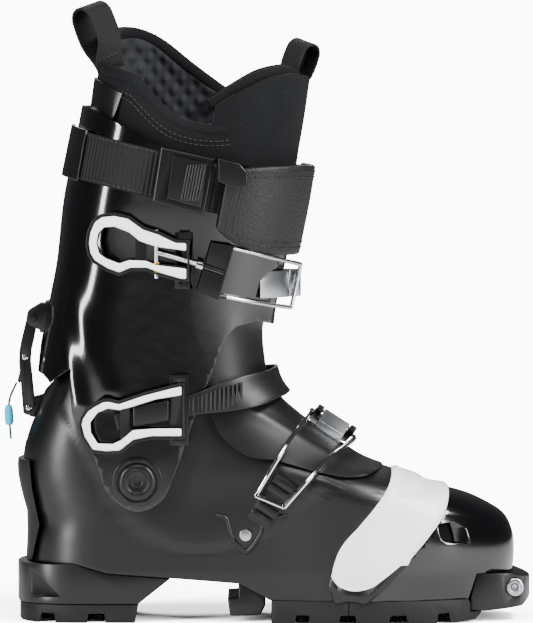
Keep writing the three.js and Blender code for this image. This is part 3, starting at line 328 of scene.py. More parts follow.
# Pins, rivets, tech inserts and the bail and catch of the cuff: brushed, with streaked grey highlights.
STEEL = brushed("brushed_stainless_steel", ("c4c6c9", "a9abae"), (0.22, 0.34))
# Instep bail and threads, plated: a near mirror that picks up the lamps.
CHROME = brushed("bright_chrome_plate", ("dfe1e4", "cfd1d4"), (0.06, 0.12))
# Springs in the cuff lever: drawn brass wire, warm and half bright.
BRASS = brushed("brass_spring_wire", ("b8924a", "a37c36"), (0.25, 0.35))
# Stitches, twisted nylon: grey black, just lighter than the cloth.
THREAD = woven("nylon_thread", ("242426", "19191b"), (0.5, 0.7), 0.5)
# Boot board, footbed and bushes: grey foam with a dull, faintly pitted skin.
FOAM = moulded("closed_cell_foam", ("4a4b4e", "3d3e41"), (0.8, 0.95), 0.8, 0.1)


# ---------- the smooth forms the boot is cut from ----------
def eased(stations):
    """A function that passes smoothly through its stations: ((at, value), ...)."""
    count = len(stations)

    def slope(i):
        """The slope at a station, from its neighbours."""
        before, after = stations[max(i - 1, 0)], stations[min(i + 1, count - 1)]
        return (after[1] - before[1]) / (after[0] - before[0])

    def value(at):
        """The curve's value, level beyond its ends."""
        after = next((i for i, station in enumerate(stations) if station[0] > at), None)
        if after is None:
            return stations[-1][1]
        if after == 0:
            return stations[0][1]
        (a, u), (b, v) = stations[after - 1], stations[after]
        h, t = b - a, (at - a) / (b - a)
        ends = u * (2 * t**3 - 3 * t**2 + 1) + v * (3 * t**2 - 2 * t**3)
        return ends + h * (slope(after - 1) * (t**3 - 2 * t**2 + t) + slope(after) * (t**3 - t**2))

    return value


def smoothstep(x, low, high):
    """Rises from 0 at low to 1 at high."""
    t = min(max((x - low) / (high - low), 0), 1)
    return t * t * (3 - 2 * t)


def bell(x, centre, width):
    """A bump of height 1 round the centre."""
    return math.exp(-(((x - centre) / width) ** 2))


ROUNDNESS = 2.4  # the power of the rounded ends: 2 is an ellipse
AROUND_STEPS = (24, 16, 30)
BALL_HALF = 56.0
footprint = eased(
    (
        (HEEL_X, 38),
        (-100, ANKLE_HALF),
        (-50, ANKLE_HALF),
        (0, 47),
        (FLEX_X, BALL_HALF),
        (95, BALL_HALF - 3),
        (130, 47),
        (TOE_X, 40),
    )
)
leg_half = eased(
    (
        (60, CUFF_HALF),
        (150, CUFF_HALF),
        (216, CUFF_HALF + 2),
        (252, CUFF_HALF + 5),
        (CUFF_TOP, CUFF_HALF + 9),
        (370, CUFF_HALF + 9),
    )
)
leg_share = eased(((90, 0), (150, 1), (400, 1)))


def lengths_along(points):
    """How far along a line each of its points lies."""
    lengths = [0.0]
    for a, b in zip(points, points[1:]):
        lengths.append(lengths[-1] + math.dist(a, b))
    return lengths


class Form:
    """A rear and a front end, roundings and a half width at each height."""

    def __init__(self, rear, front, back_round, front_round, half, centre):
        self.rear, self.front = rear, front
        self.back_round, self.front_round = back_round, front_round
        self.half, self.centre = half, centre

    def ring(self, z, offset, steps):
        """The closed ring of points round the form at height z, in millimetres."""
        back, sides, front = steps
        rear_x, front_x = self.rear(z), self.front(z)
        back_r, front_r = self.back_round(z), self.front_round(z)
        half_side = []
        for i in range(back):
            turn = i / back * math.pi / 2
            reach = (back_r + offset) * math.cos(turn) ** (2 / ROUNDNESS)
            half_side.append((rear_x + back_r - reach, math.sin(turn)))
        for i in range(sides):
            start, end = rear_x + back_r, front_x - front_r
            half_side.append((start + (end - start) * i / sides, 1.0))
        for i in range(front + 1):
            turn = i / front * math.pi / 2
            reach = (front_r + offset) * max(math.sin(turn), 0) ** (2 / ROUNDNESS)
            half_side.append((front_x - front_r + reach, max(math.cos(turn), 0.0)))
        points = []
        for side, row in ((-1, half_side), (1, half_side[-2:0:-1])):
            for x, share in row:
                spread = share ** (2 / ROUNDNESS) * (self.half(x, z) + offset)
                points.append((x, self.centre(x, z) + side * spread, z))
        return points

    def side_y(self, x, z, offset, side=-1):
        """How far across the surface lies at x and z."""
        start, end = self.rear(z) + self.back_round(z), self.front(z) - self.front_round(z)
        along = 0.0
        if x < start:
            along = (start - x) / (self.back_round(z) + offset)
        if x > end:
            along = (x - end) / (self.front_round(z) + offset)
        share = max(1 - min(along, 1) ** ROUNDNESS, 0) ** (1 / ROUNDNESS)
        return self.centre(x, z) + side * share * (self.half(x, z) + offset)

    def around(self, share, z, offset):
        """A point at this share of the way round the outer side, from the back (0) to the front (1)."""
        row = self.ring(z, offset, AROUND_STEPS)[: sum(AROUND_STEPS) + 1]
        lengths = lengths_along(row)
        want = share * lengths[-1]
        i = next(k for k in range(1, len(lengths)) if lengths[k] >= want - 1e-9)
        t = (want - lengths[i - 1]) / (lengths[i] - lengths[i - 1])
        return Vector(row[i - 1]).lerp(Vector(row[i]), t)


leg_rear = eased(
    (
        (55, HEEL_X + 12),
        (120, HEEL_X + 12),
        (151, HEEL_X + 12.5),
        (186, HEEL_X + 18.8),
        (216, HEEL_X + 24.6),
        (252, HEEL_X + 28.6),
        (285, HEEL_X + 35),
        (CUFF_TOP, HEEL_X + 40),
        (370, HEEL_X + 48),
    )
)
leg_front = eased(
    (
        (55, -1),
        (151, -1),
        (186, 1.2),
        (216, 7.4),
        (252, 14.8),
        (285, 20),
        (CUFF_TOP, 23),
        (370, 28),
    )
)
LEG = Form(leg_rear, leg_front, lambda z: 45.0, lambda z: 56.0, lambda x, z: leg_half(z), lambda x, z: 0.0)

foot_rear = eased(
    (
        (10, HEEL_X + 15),
        (30, HEEL_X + 9),
        (48, HEEL_X + 9),
        (60, HEEL_X + 10),
        (74, HEEL_X + 6.5),
        (90, HEEL_X + 3.5),
        (108, HEEL_X + 5.5),
        (131, HEEL_X + 14),
        (150, HEEL_X + 12.5 + LINING),
        (186, HEEL_X + 18.8 + LINING),
        (216, HEEL_X + 24.6 + LINING),
        (252, HEEL_X + 28.6 + LINING),
    )
)
foot_front = eased(
    (
        (10, TOE_X - 16),
        (22, TOE_X - 12),
        (32, TOE_X - 10),
        (45, TOE_X - 9.5),
        (54, TOE_X - 11),
        (63, TOE_X - 16),
        (69, TOE_X - 25),
        (75, TOE_X - 38),
        (78, TOE_X - 49),
        (84, 90),
        (88, 77),
        (92, 65),
        (97, 52),
        (105, 39),
        (115, 24),
        (125, 11),
        (134, 1),
        (145, -6),
        (160, -9),
        (176, -9.8),
        (186, 1.2 - LINING),
        (216, 7.4 - LINING),
        (252, 14.8 - LINING),
    )
)


def foot_half(x, z):
    """The foot's half width, which turns into the leg's as the shell rises."""
    leg = leg_share(z)
    tuck = 1 - (30 - z) * 0.003 if z < 30 else 1.0
    return (1 - leg) * footprint(x) * tuck + leg * (leg_half(z) - LINING)


def foot_centre(x, z):
    """How far the toe curves inwards."""
    return (1 - leg_share(z)) * 5 * smoothstep(x, 0, TOE_X)


FOOT = Form(
    foot_rear,
    foot_front,
    eased(((10, 42), (120, 42), (150, 42), (400, 42))),
    eased(((10, 72), (100, 75), (150, 54), (400, 54))),
    foot_half,
    foot_centre,
)
strap_front = eased(((115, 22), (127, 15), (134, 10), (140, 5), (147, 1.5), (160, -1.5)))
LADDER = Form(
    leg_rear,
    strap_front,
    lambda z: 45.0,
    lambda z: 50.0,
    lambda x, z: CUFF_HALF + 0.5,
    lambda x, z: 0.0,
)


# ---------- building ----------
SEAM_MM = 0.001  # points this close are one where a ring meets itself
WELD_MM = 0.02  # and after a cut
DRUM_SIDES = 64


def placed(point):
    """The place in metres of a point in millimetres from the boot's middle plane."""
    return Vector(point) * MM + Vector((0, SIDE, 0))


def link_piece(name, data, material):
    """Puts a mesh or a curve in the scene as a piece with one material."""
    piece = bpy.data.objects.new(name, data)
    bpy.context.scene.collection.objects.link(piece)
    data.materials.append(material)
    return piece


def new_piece(name, bm, material):
    """A closed piece, its faces turned outwards."""
    bmesh.ops.recalc_face_normals(bm, faces=bm.faces)
    mesh = bpy.data.meshes.new(name)
    bm.to_mesh(mesh)
    bm.free()
    return link_piece(name, mesh, material)


def sheet(rows):
    """An open grid of faces laid through rows of points."""
    bm = bmesh.new()
    bmesh.ops.create_grid(bm, x_segments=len(rows[0]) - 1, y_segments=len(rows) - 1, size=1)
    for corner, point in zip(bm.verts, [point for row in rows for point in row]):
        corner.co = placed(point)
    return bm


def loft(form, low, high, offset, step, steps=(26, 30, 40)):
    """A closed solid between two heights of a form, its skin dense enough to shade smoothly."""
    count = max(int(round((high - low) / step)), 1)
    rings = [form.ring(low + (high - low) * level / count, offset, steps) for level in range(count + 1)]
    bm = sheet([ring + ring[:1] for ring in rings])
    bmesh.ops.remove_doubles(bm, verts=bm.verts, dist=SEAM_MM * MM)
    bmesh.ops.holes_fill(bm, edges=bm.edges, sides=0)
    return new_piece("loft", bm, SATIN)


def prism(points, low=-FAR, high=FAR):
    """A cutter: a side outline run across the boot."""
    bm = bmesh.new()
    face = bm.faces.new([bm.verts.new(placed((x, low, z))) for x, z in points])
    run = bmesh.ops.extrude_face_region(bm, geom=[face])
    moved = [item for item in run["geom"] if isinstance(item, bmesh.types.BMVert)]
    bmesh.ops.translate(bm, vec=(0, (high - low) * MM, 0), verts=moved)
    return new_piece("cutter", bm, SATIN)


def block(x0, y0, z0, x1, y1, z1):
    """A box between two corners."""
    return prism(((x0, z0), (x1, z0), (x1, z1), (x0, z1)), y0, y1)


def drum(x, z, radius, low, high):
    """A cylinder across the boot."""
    bm = bmesh.new()
    across = Matrix.Translation(placed((x, (low + high) / 2, z))) @ Matrix.Rotation(math.pi / 2, 4, "X")
    size = {"radius1": radius * MM, "radius2": radius * MM, "depth": (high - low) * MM}
    bmesh.ops.create_cone(bm, cap_ends=True, segments=DRUM_SIDES, matrix=across, **size)
    return new_piece("drum", bm, SATIN)


def applied(piece):
    """Bakes the piece's modifiers into its mesh."""
    depsgraph = bpy.context.evaluated_depsgraph_get()
    mesh = bpy.data.meshes.new_from_object(piece.evaluated_get(depsgraph))
    piece.modifiers.clear()
    piece.data = mesh
    return piece


def cut(piece, tool, operation="DIFFERENCE"):
    """Takes the tool away from the piece, or keeps only what they share."""
    step = piece.modifiers.new("cut", "BOOLEAN")
    step.operation, step.object, step.solver = operation, tool, "EXACT"
    applied(piece)
    bpy.data.objects.remove(tool)
    return piece


def named(piece, name, material):
    """Gives a cut piece its name and one material all over."""
    piece.name = name
    piece.data.name = name
    piece.data.materials.clear()
    piece.data.materials.append(material)
    for face in piece.data.polygons:
        face.material_index = 0
    return piece


def relief(piece, height_at):
    """Moves each point along its normal by height_at(x, y, z, normal), all in millimetres."""
    mesh = piece.data
    normals = [vertex.normal.copy() for vertex in mesh.vertices]
    for vertex, normal in zip(mesh.vertices, normals):
        x, y, z = vertex.co.x / MM, (vertex.co.y - SIDE) / MM, vertex.co.z / MM
        vertex.co += normal * height_at(x, y, z, normal) * MM
    return piece


def smooth(piece, angle, bevel_mm, segments=3):
    """Rounds the sharp edges and shades the rest smoothly."""
    bm = bmesh.new()
    bm.from_mesh(piece.data)
    bmesh.ops.remove_doubles(bm, verts=bm.verts, dist=WELD_MM * MM)
    bmesh.ops.dissolve_degenerate(bm, edges=bm.edges, dist=WELD_MM * MM)
    for face in bm.faces:
        face.smooth = True
    bm.to_mesh(piece.data)
    bm.free()
    if bevel_mm:
        soft = piece.modifiers.new("edge", "BEVEL")
        soft.width, soft.segments, soft.limit_method = bevel_mm * MM, segments, "ANGLE"
        soft.angle_limit = math.radians(angle)
        applied(piece)
    piece.data.set_sharp_from_angle(angle=math.radians(40))
    return piece


def show(piece, body, slot, *replaced):
    """Rides the piece on its body, in the place of the solids that it replaces."""
    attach(piece, body)
    if replaced:
        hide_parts(*replaced)
    return piece


def curved(points, steps):
    """Points along a smooth curve through the given ones."""
    lengths = lengths_along(points)
    ways = [eased([(at, point[k]) for at, point in zip(lengths, points)]) for k in range(len(points[0]))]
    return [tuple(way(lengths[-1] * i / steps) for way in ways) for i in range(steps + 1)]


def shifted(points, run):
    """The outline moved along the boot."""
    return [(x + run, z) for x, z in points]


def rim_arc(radius, start, end, steps):
    """Points on an arc about the ankle pivot, between two angles in degrees."""
    turns = [math.radians(start + (end - start) * i / steps) for i in range(steps + 1)]
    return [(PIVOT.x + radius * math.cos(a), PIVOT.z + radius * math.sin(a)) for a in turns]


def refine(name, material, slot, bevel_mm, segments, angle=35):
    """A clean copy of a metal or plastic part with its flat faces merged and its edges rounded."""
    source = nodes[name]
    bm = bmesh.new()
    bm.from_mesh(source.data)
    bmesh.ops.remove_doubles(bm, verts=bm.verts, dist=0.01 * MM)
    bmesh.ops.dissolve_limit(bm, angle_limit=math.radians(1.0), verts=bm.verts, edges=bm.edges)
    piece = new_piece("made_" + name, bm, material)
    smooth(piece, angle, bevel_mm, segments)
    return show(piece, source["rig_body"], slot, name)


# ---------- lower shell ----------
BELLOWS_FOOT = SOLE_HEIGHT - 2
BELLOWS_REAR = curved(
    ((36, BELLOWS_FOOT), (34.2, 27), (39.6, 45.6), (52.2, 60.6), (62.4, 73.2), (70.2, 85.8), (73, 104)), 28
)
BELLOWS_FRONT = curved(
    ((56, BELLOWS_FOOT), (66.6, 23.4), (80, 37.6), (93, 52.8), (103.2, 68.4), (108, 92)), 24
)
THROAT = curved(((66, 88), (48, 93), (28, 100), (0, 112), (-20, 124), (-32, 143)), 20)
TONGUE_EDGE = curved(
    (
        (68, 97),
        (64.8, 92.4),
        (48, 88.6),
        (29.4, 91.2),
        (1.2, 98.4),
        (-15, 100.8),
        (-30, 111.6),
        (-37.2, 125.4),
        (-40, 150),
    ),
    32,
)
UNDERSIDE = [(HEEL_X - 20, HEEL_TOP + GAP), (-120, HEEL_TOP + GAP), (-100, 30), (-62, 27.2), (-21, 24.2)]
UNDERSIDE += [(-2, SOLE_HEIGHT + GAP)]
FOOT_ROOM = [(HEEL_X, 45), (-100, 42), (-40, 33), (10, 24), (110, 24), (122, 34), (TOE_X, 35)]
FOOT_ROOM += [(TOE_X, 420), (HEEL_X, 420)]
SHELL_STEP = curved(((-128, 128), (-108, 92), (-84, 58), (-52, 44), (-8, 52), (20, 74), (44, 92)), 24)


def line_distance(x, z, line):
    """Distance from a point to a polyline, signed by the side it lies on."""
    best, sign = 1e9, 1
    for (ax, az), (bx, bz) in zip(line, line[1:]):
        run, rise = bx - ax, bz - az
        t = min(max(((x - ax) * run + (z - az) * rise) / (run * run + rise * rise), 0), 1)
        gap = math.hypot(x - ax - t * run, z - az - t * rise)
        if gap < best:
            best, sign = gap, 1 if run * (z - az) - rise * (x - ax) > 0 else -1
    return best * sign


def shell_relief(x, y, z, normal):
    """The moulded step that runs from the heel down under the ankle and up to the instep."""
    if abs(normal.y) < 0.25 or abs(y) < ANKLE_HALF - 9:
        return 0.0
    distance = line_distance(x, z, SHELL_STEP)
    rise = 0.9 * smoothstep(distance, -1.6, 1.6) * (1 - smoothstep(distance, 4, 34))
    return (rise - 0.5 * bell(distance, 0, 1.5)) * smoothstep(abs(normal.y), 0.25, 0.6)


def make_shells():
    """The lower shell and the toe box, hollowed and cut apart at the bellows."""
    outline = UNDERSIDE + shifted(BELLOWS_REAR, -GAP) + THROAT[1:]
    outline += rim_arc(77, 52, 138, 24) + [(HEEL_X - 20, 137.5)]
    shell = loft(FOOT, SOLE_HEIGHT + GAP - 4, 160, 0, 2.2)
    cut(shell, prism(outline), "INTERSECT")
    inner = loft(FOOT, SOLE_HEIGHT, 170, -SHELL_WALL, 3.5)
    cut(inner, prism(FOOT_ROOM), "INTERSECT")
    cut(shell, inner)
    cut(shell, drum(PIVOT.x, PIVOT.z, BUSH_HOLE_R, -FAR, FAR))
    relief(shell, shell_relief)
    smooth(shell, 38, 0.7)
    show(named(shell, "lower_shell", SATIN), "shell", "shell_black", "rear_shell")

    front = shifted(BELLOWS_FRONT, GAP)[::-1] + [
        (117, SOLE_HEIGHT + GAP),
        (122, 29.4),
        (TOE_X + 10, 29.4),
        (TOE_X + 10, 120),
        (108, 120),
    ]
    box_toe = loft(FOOT, SOLE_HEIGHT + GAP - 4, 118, 0, 1.6, (10, 30, 60))
    cut(box_toe, prism(front), "INTERSECT")
    recess = curved(((98, 60), (108, 60.5), (124, 50), (112, 48.2), (101, 50), (98, 60)), 24)[:-1]
    for side in (-1, 1):
        floor_y = FOOT.side_y(112, 54, -2.2, side)
        low, high = (-FAR, floor_y) if side < 0 else (floor_y, FAR)
        cut(box_toe, prism(recess, low, high))
    toe_inner = loft(FOOT, SOLE_HEIGHT, 110, -SHELL_WALL, 3.5)
    cut(toe_inner, prism(FOOT_ROOM), "INTERSECT")
    cut(box_toe, toe_inner)
    smooth(box_toe, 38, 0.8)
    show(named(box_toe, "toe_box", GLOSS), "toe", "gloss_black", "toe_shell")


BELLOWS_BASE = curved(((30, 40), (34, 30), (39, 23.5), (48, 20.5), (58, 22.5), (66, 28), (76, 36)), 24)


def bellows_relief(x, y, z, normal):
    """Rolled rims along both edges, a full belly between, and the fold across the top."""
    rear, front = line_distance(x, z, BELLOWS_REAR), line_distance(x, z, BELLOWS_FRONT)
    rims = 1.6 * (bell(abs(rear), 3.2, 2.4) + bell(abs(front), 3.2, 2.4))
    rims += 1.6 * bell(line_distance(x, z, BELLOWS_BASE), -3.2, 2.4)
    share = abs(rear) / (abs(rear) + abs(front))
    belly = 1.6 * math.sin(math.pi * share) * smoothstep(z, 18, 60)
    fold = -2.6 * bell(share, 0.62, 0.13) * smoothstep(z, 74, 86)
    crease = -0.9 * bell(share, 0.5, 0.16) * smoothstep(z, 24, 60) * (1 - smoothstep(z, 60, 76))
    outside = 1 if normal.dot(Vector((0.2, y / 50, max(z - 50, 0) / 30))) > 0 else 0
    return outside * (rims + belly + fold + crease)


def make_bellows():
    """The white bellows and the black strip at its foot, cut from one skin."""
    body = loft(FOOT, SOLE_HEIGHT + GAP, 110, 1.0, 1.5, (10, 90, 50))
    cut(body, prism(shifted(BELLOWS_REAR, GAP) + shifted(BELLOWS_FRONT, -GAP)[::-1]), "INTERSECT")
    relief(body, bellows_relief)
    cut(body, loft(FOOT, SOLE_HEIGHT - 3, 112, -1.6, 3))
    base = body.copy()
    base.data = body.data.copy()
    bpy.context.scene.collection.objects.link(base)
    above = [(10, 150), (10, 40)] + BELLOWS_BASE + [(130, 36), (130, 150)]
    cut(body, prism(above), "INTERSECT")
    cut(base, prism(above))
    for part, name, material, slot in (
        (body, "toe_bellows_skin", BELLOWS, "white_plastic"),
        (base, "bellows_base", SATIN, "shell_black"),
    ):
        smooth(part, 40, 0.9 if part is body else 0.4, 4)
        named(part, name, material)
        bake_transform(part)
    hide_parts("toe_bellows")


def tongue_relief(x, y, z, normal):
    """A low rib across the tongue's front, parallel to its slope."""
    if normal.x + normal.z <= 0.3:
        return 0.0
    return 0.8 * bell(z - (70 + 0.55 * (66 - x)), 14, 3)


def make_tongue():
    """The overlap tongue: a skin over the shell that rises into the cuff and bends between them."""
    outline = TONGUE_EDGE + [(-34, 228), (60, 228), (60, 110), (72, 100)]
    tongue = loft(FOOT, 80, 232, TONGUE_WALL + GAP, 2.4)
    cut(tongue, loft(FOOT, 78, 235, GAP, 3))
    cut(tongue, prism(outline), "INTERSECT")
    relief(tongue, tongue_relief)
    smooth(tongue, 38, 0.9)
    named(tongue, "tongue_skin", TONGUE)
    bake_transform(tongue)
    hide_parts("shell_tongue")


# ---------- cuff ----------
CUFF_EDGE = curved(
    (
        (-22, 178.5),
        (-29.4, 171),
        (-35.4, 155.4),
        (-49.2, 119.4),
        (-58.2, 93),
        (-67.2, 74.4),
        (-82.8, 67.8),
        (-99, 78.6),
        (-105.6, 95.4),
        (-115.8, 120.6),
        (-122.4, 126),
        (-138, 148.2),
        (-150, 150.5),
    ),
    70,
)
CUFF_OUTLINE = CUFF_EDGE[::-1] + [
    (-10, 181.5),
    (8, 176),
    (40, 178),
    (40, 273.6),
    (-9.6, 273.6),
    (-60, 284),
    (-112, 309.6),
    (-160, 309.6),
]
REAR_RIDGE = curved(((-132, 200), (-124, 161), (-117, 131)), 12)
SIDE_RIDGE = curved(((-123, 199), (-100, 140)), 8)


def cuff_relief(x, y, z, normal):
    """Ridges that fan down from the rear, and a raised spine at the back."""
    spine = 1.1 * (1 - smoothstep(abs(y), 9, 15)) * (1 if normal.x < -0.5 else 0) * smoothstep(z, 150, 170)
    if abs(normal.y) < 0.3 or abs(y) < CUFF_HALF - 12:
        return spine * 0.6
    first, second = line_distance(x, z, REAR_RIDGE), line_distance(x, z, SIDE_RIDGE)
    raised = 1.0 * bell(first, 0, 5) + 0.8 * bell(second, 0, 6)
    return raised * smoothstep(abs(normal.y), 0.3, 0.7)


def make_cuff():
    """The cuff, hollowed to clear the shell, with a hole and a raised ring at each pivot."""
    cuff = loft(LEG, 60, 316, 0, 2.2, (30, 46, 40))
    cut(cuff, prism(CUFF_OUTLINE), "INTERSECT")
    relief(cuff, cuff_relief)
    cut(cuff, loft(LEG, 55, 330, -CUFF_WALL, 4))
    room = CUFF_HALF - CUFF_WALL
    cut(cuff, prism(rim_arc(78.5, 0, 350, 60), -room, room))
    cut(cuff, drum(PIVOT.x, PIVOT.z, BUSH_HOLE_R, -FAR, FAR))
    cut(cuff, block(-170, -LINK_NOTCH, 140, -120, LINK_NOTCH, 165))
    smooth(cuff, 38, 0.8)
    show(named(cuff, "cuff_shell", GLOSS), "cuff", "gloss_black", "cuff")
    for side, word in ((-1, "lateral"), (1, "medial")):
        flare = drum(PIVOT.x, PIVOT.z, 15, *sorted((side * (CUFF_HALF - 1), side * (CUFF_HALF + 0.7))))
        cut(flare, drum(PIVOT.x, PIVOT.z, 11.4, -FAR, FAR))
        smooth(flare, 30, 0.6)
        show(named(flare, "pivot_ring_" + word, SATIN), "cuff", "gloss_black")


# ---------- sheets, straps and padding ----------
def band(name, rows, thick_mm, material, offset=1.0, rim_bevel=0.5):
    """A sheet through rows of points, given its thickness and a soft rim; its UV map holds its lengths."""
    bm = sheet(rows)
    bm.verts.index_update()
    lengthwise = lengths_along(rows[0])
    crosswise = lengths_along([row[len(row) // 2] for row in rows])
    layer = bm.loops.layers.uv.new("band")
    for face in bm.faces:
        for loop in face.loops:
            row, place = divmod(loop.vert.index, len(rows[0]))
            loop[layer].uv = (lengthwise[place] * MM, crosswise[row] * MM)
    mesh = bpy.data.meshes.new(name)
    bm.to_mesh(mesh)
    bm.free()
    piece = link_piece(name, mesh, material)
    thick = piece.modifiers.new("thickness", "SOLIDIFY")
    thick.thickness, thick.offset = thick_mm * MM, offset
    applied(piece)
    if rim_bevel:
        rim = piece.modifiers.new("rim", "BEVEL")
        rim.width, rim.segments, rim.limit_method = rim_bevel * MM, 2, "ANGLE"
        rim.angle_limit = math.radians(50)
        applied(piece)
    for face in piece.data.polygons:
        face.use_smooth = True
    return piece


def tube(name, paths, radius_mm, material, sides=3):
    """Round wires or threads through the given lines, as one piece."""
    curve = bpy.data.curves.new(name, "CURVE")
    curve.dimensions = "3D"
    curve.bevel_depth, curve.bevel_resolution, curve.use_fill_caps = radius_mm * MM, sides, True
    for path in paths:
        line = curve.splines.new("POLY")
        line.points.add(len(path) - 1)
        for point, place in zip(line.points, path):
            point.co = (*placed(place), 1)
    holder = bpy.data.objects.new(name, curve)
    bpy.context.scene.collection.objects.link(holder)
    depsgraph = bpy.context.evaluated_depsgraph_get()
    mesh = bpy.data.meshes.new_from_object(holder.evaluated_get(depsgraph))
    bpy.data.objects.remove(holder)
    mesh.materials.clear()
    for face in mesh.polygons:
        face.use_smooth = True
    return link_piece(name, mesh, material)


def point_along(line, lengths, want):
    """The point of a line at a length along it."""
    i = next((k for k in range(1, len(lengths)) if lengths[k] >= want), len(lengths) - 1)
    t = (want - lengths[i - 1]) / max(lengths[i] - lengths[i - 1], 1e-6)
    return tuple(u + (v - u) * t for u, v in zip(line[i - 1], line[i]))


def stitches(name, lines, body, pitch=3.2, length=2.2, radius=0.33):
    """Rows of short thread stitches along lines."""
    paths = []
    for line in lines:
        lengths = lengths_along(line)
        gone = 0.0
        while gone + length < lengths[-1]:
            paths.append([point_along(line, lengths, gone), point_along(line, lengths, gone + length)])
            gone += pitch
    show(tube(name, paths, radius, THREAD, 1), body, "liner_fabric")


# ---------- liner ----------
LINER_THICK = 8.0
LINER_STEPS, LINER_LEVELS = 72, 44
LINER_SKIN = -(CUFF_WALL + 3.2)  # the liner's outer face, from the cuff's
LEG_AXIS_X = -58
LINER_END = 0.64  # where the liner's opening starts, as a share of the way round
TONGUE_START = 0.57
near_rim = eased(
    (
        (-124, 346),
        (-115, 340),
        (-107, 331),
        (-97, 328),
        (-86, 324),
        (-76, 314),
        (-65, 304.5),
        (-52, 298),
        (-34, 295),
        (-18, 297),
        (-6, 302),
        (10, 303),
    )
)
far_rim = eased(
    (
        (-124, 346),
        (-112, 350),
        (-98, 352),
        (-86, 350),
        (-73, 344),
        (-54, 331),
        (-34, 318),
        (-20, 309),
        (-8, 302),
        (10, 300),
    )
)


def liner_row(level):
    """One row round the liner's outer face, from its foot (level 0) to its rim."""
    row = []
    for side, rim in ((1, far_rim), (-1, near_rim)):
        shares = [LINER_END * i / LINER_STEPS for i in range(LINER_STEPS + 1)]
        if side > 0:
            shares = shares[:0:-1]
        for share in shares:
            top = rim(LEG.around(share, 310, -LINER_THICK).x)
            z = 176 + (top - 176) * level / LINER_LEVELS
            swell = 1.6 * bell(z, top - 10, 9)
            place = LEG.around(share, z, LINER_SKIN + swell - 0.8)
            row.append((place.x, abs(place.y) * side, z))
    return row


def make_liner():
    """The liner's upper: a padded wall, knit inside, with a bound rim and two rows of stitches."""
    rows = [liner_row(level) for level in range(LINER_LEVELS + 1)]
    body = band("liner_upper", rows, LINER_THICK, FACE, -1.0, 0)
    body.data.materials.append(LINING_KNIT)
    centre = Vector((LEG_AXIS_X * MM, SIDE))
    for face in body.data.polygons:
        outward = Vector((face.center.x, face.center.y)) - centre
        if face.normal.x * outward.x + face.normal.y * outward.y < 0 and face.normal.z < 0.7:
            face.material_index = 1
    show(body, "cuff", "liner_fabric", "liner_cuff")
    middle_line = []
    for x, y, z in rows[-1]:
        pull = Vector((LEG_AXIS_X - x, -y)).normalized() * (LINER_THICK / 2)
        middle_line.append((x + pull.x, y + pull.y, z + 0.6))
    binding = tube("liner_rim_binding", [middle_line], LINER_THICK / 2 + 0.5, FACE, 6)
    show(binding, "cuff", "liner_fabric")
    quilt = []
    for drop in (7, 10.5):
        row = liner_row(LINER_LEVELS * (1 - drop / 150))
        quilt.append([(x, y + math.copysign(0.35, y), z) for x, y, z in row])
    stitches("liner_stitches", quilt, "cuff")


tongue_rim = eased(((0.5, 303), (0.6, 314), (0.7, 326), (0.8, 330), (0.9, 329), (1.0, 328)))


TONGUE_STEPS, TONGUE_LEVELS = 36, 40


def liner_tongue_row(level):
    """One row round the front, tucked in at both ends so that it lies under the upper's edges."""
    row = []
    for side in (-1, 1):
        shares = [TONGUE_START + (1 - TONGUE_START) * i / TONGUE_STEPS for i in range(TONGUE_STEPS + 1)]
        if side > 0:
            shares = shares[-2::-1]
        for share in shares:
            z = 190 + (tongue_rim(share) - 190) * level / TONGUE_LEVELS
            tuck = -4.0 * (1 - smoothstep(share, TONGUE_START, TONGUE_START + 0.12))
            lean = 0.05 * max(z - 285, 0)
            place = LEG.around(share, z, LINER_SKIN - LINER_THICK * 0.55 + tuck)
            row.append((place.x + lean, abs(place.y) * side, z))
    return row


def make_liner_tongue():
    """The liner's tongue: a pad across the front, knit inside, with a bound top."""
    rows = [liner_tongue_row(level) for level in range(TONGUE_LEVELS + 1)]
    body = band("liner_tongue_pad", rows, 7.0, FACE, 1.0, 1.8)
    body.data.materials.append(LINING_KNIT)
    for face in body.data.polygons:
        if face.normal.x < -0.5:
            face.material_index = 1
    show(body, "cuff", "liner_fabric", "liner_tongue")
    rim = [(x - 3.0, y * 0.94, z + 0.4) for x, y, z in rows[-1]]
    show(tube("tongue_rim_binding", [rim], 3.9, FACE, 6), "cuff", "liner_fabric")


LOOP_LEG_STEPS, LOOP_ARCH_STEPS = 12, 24


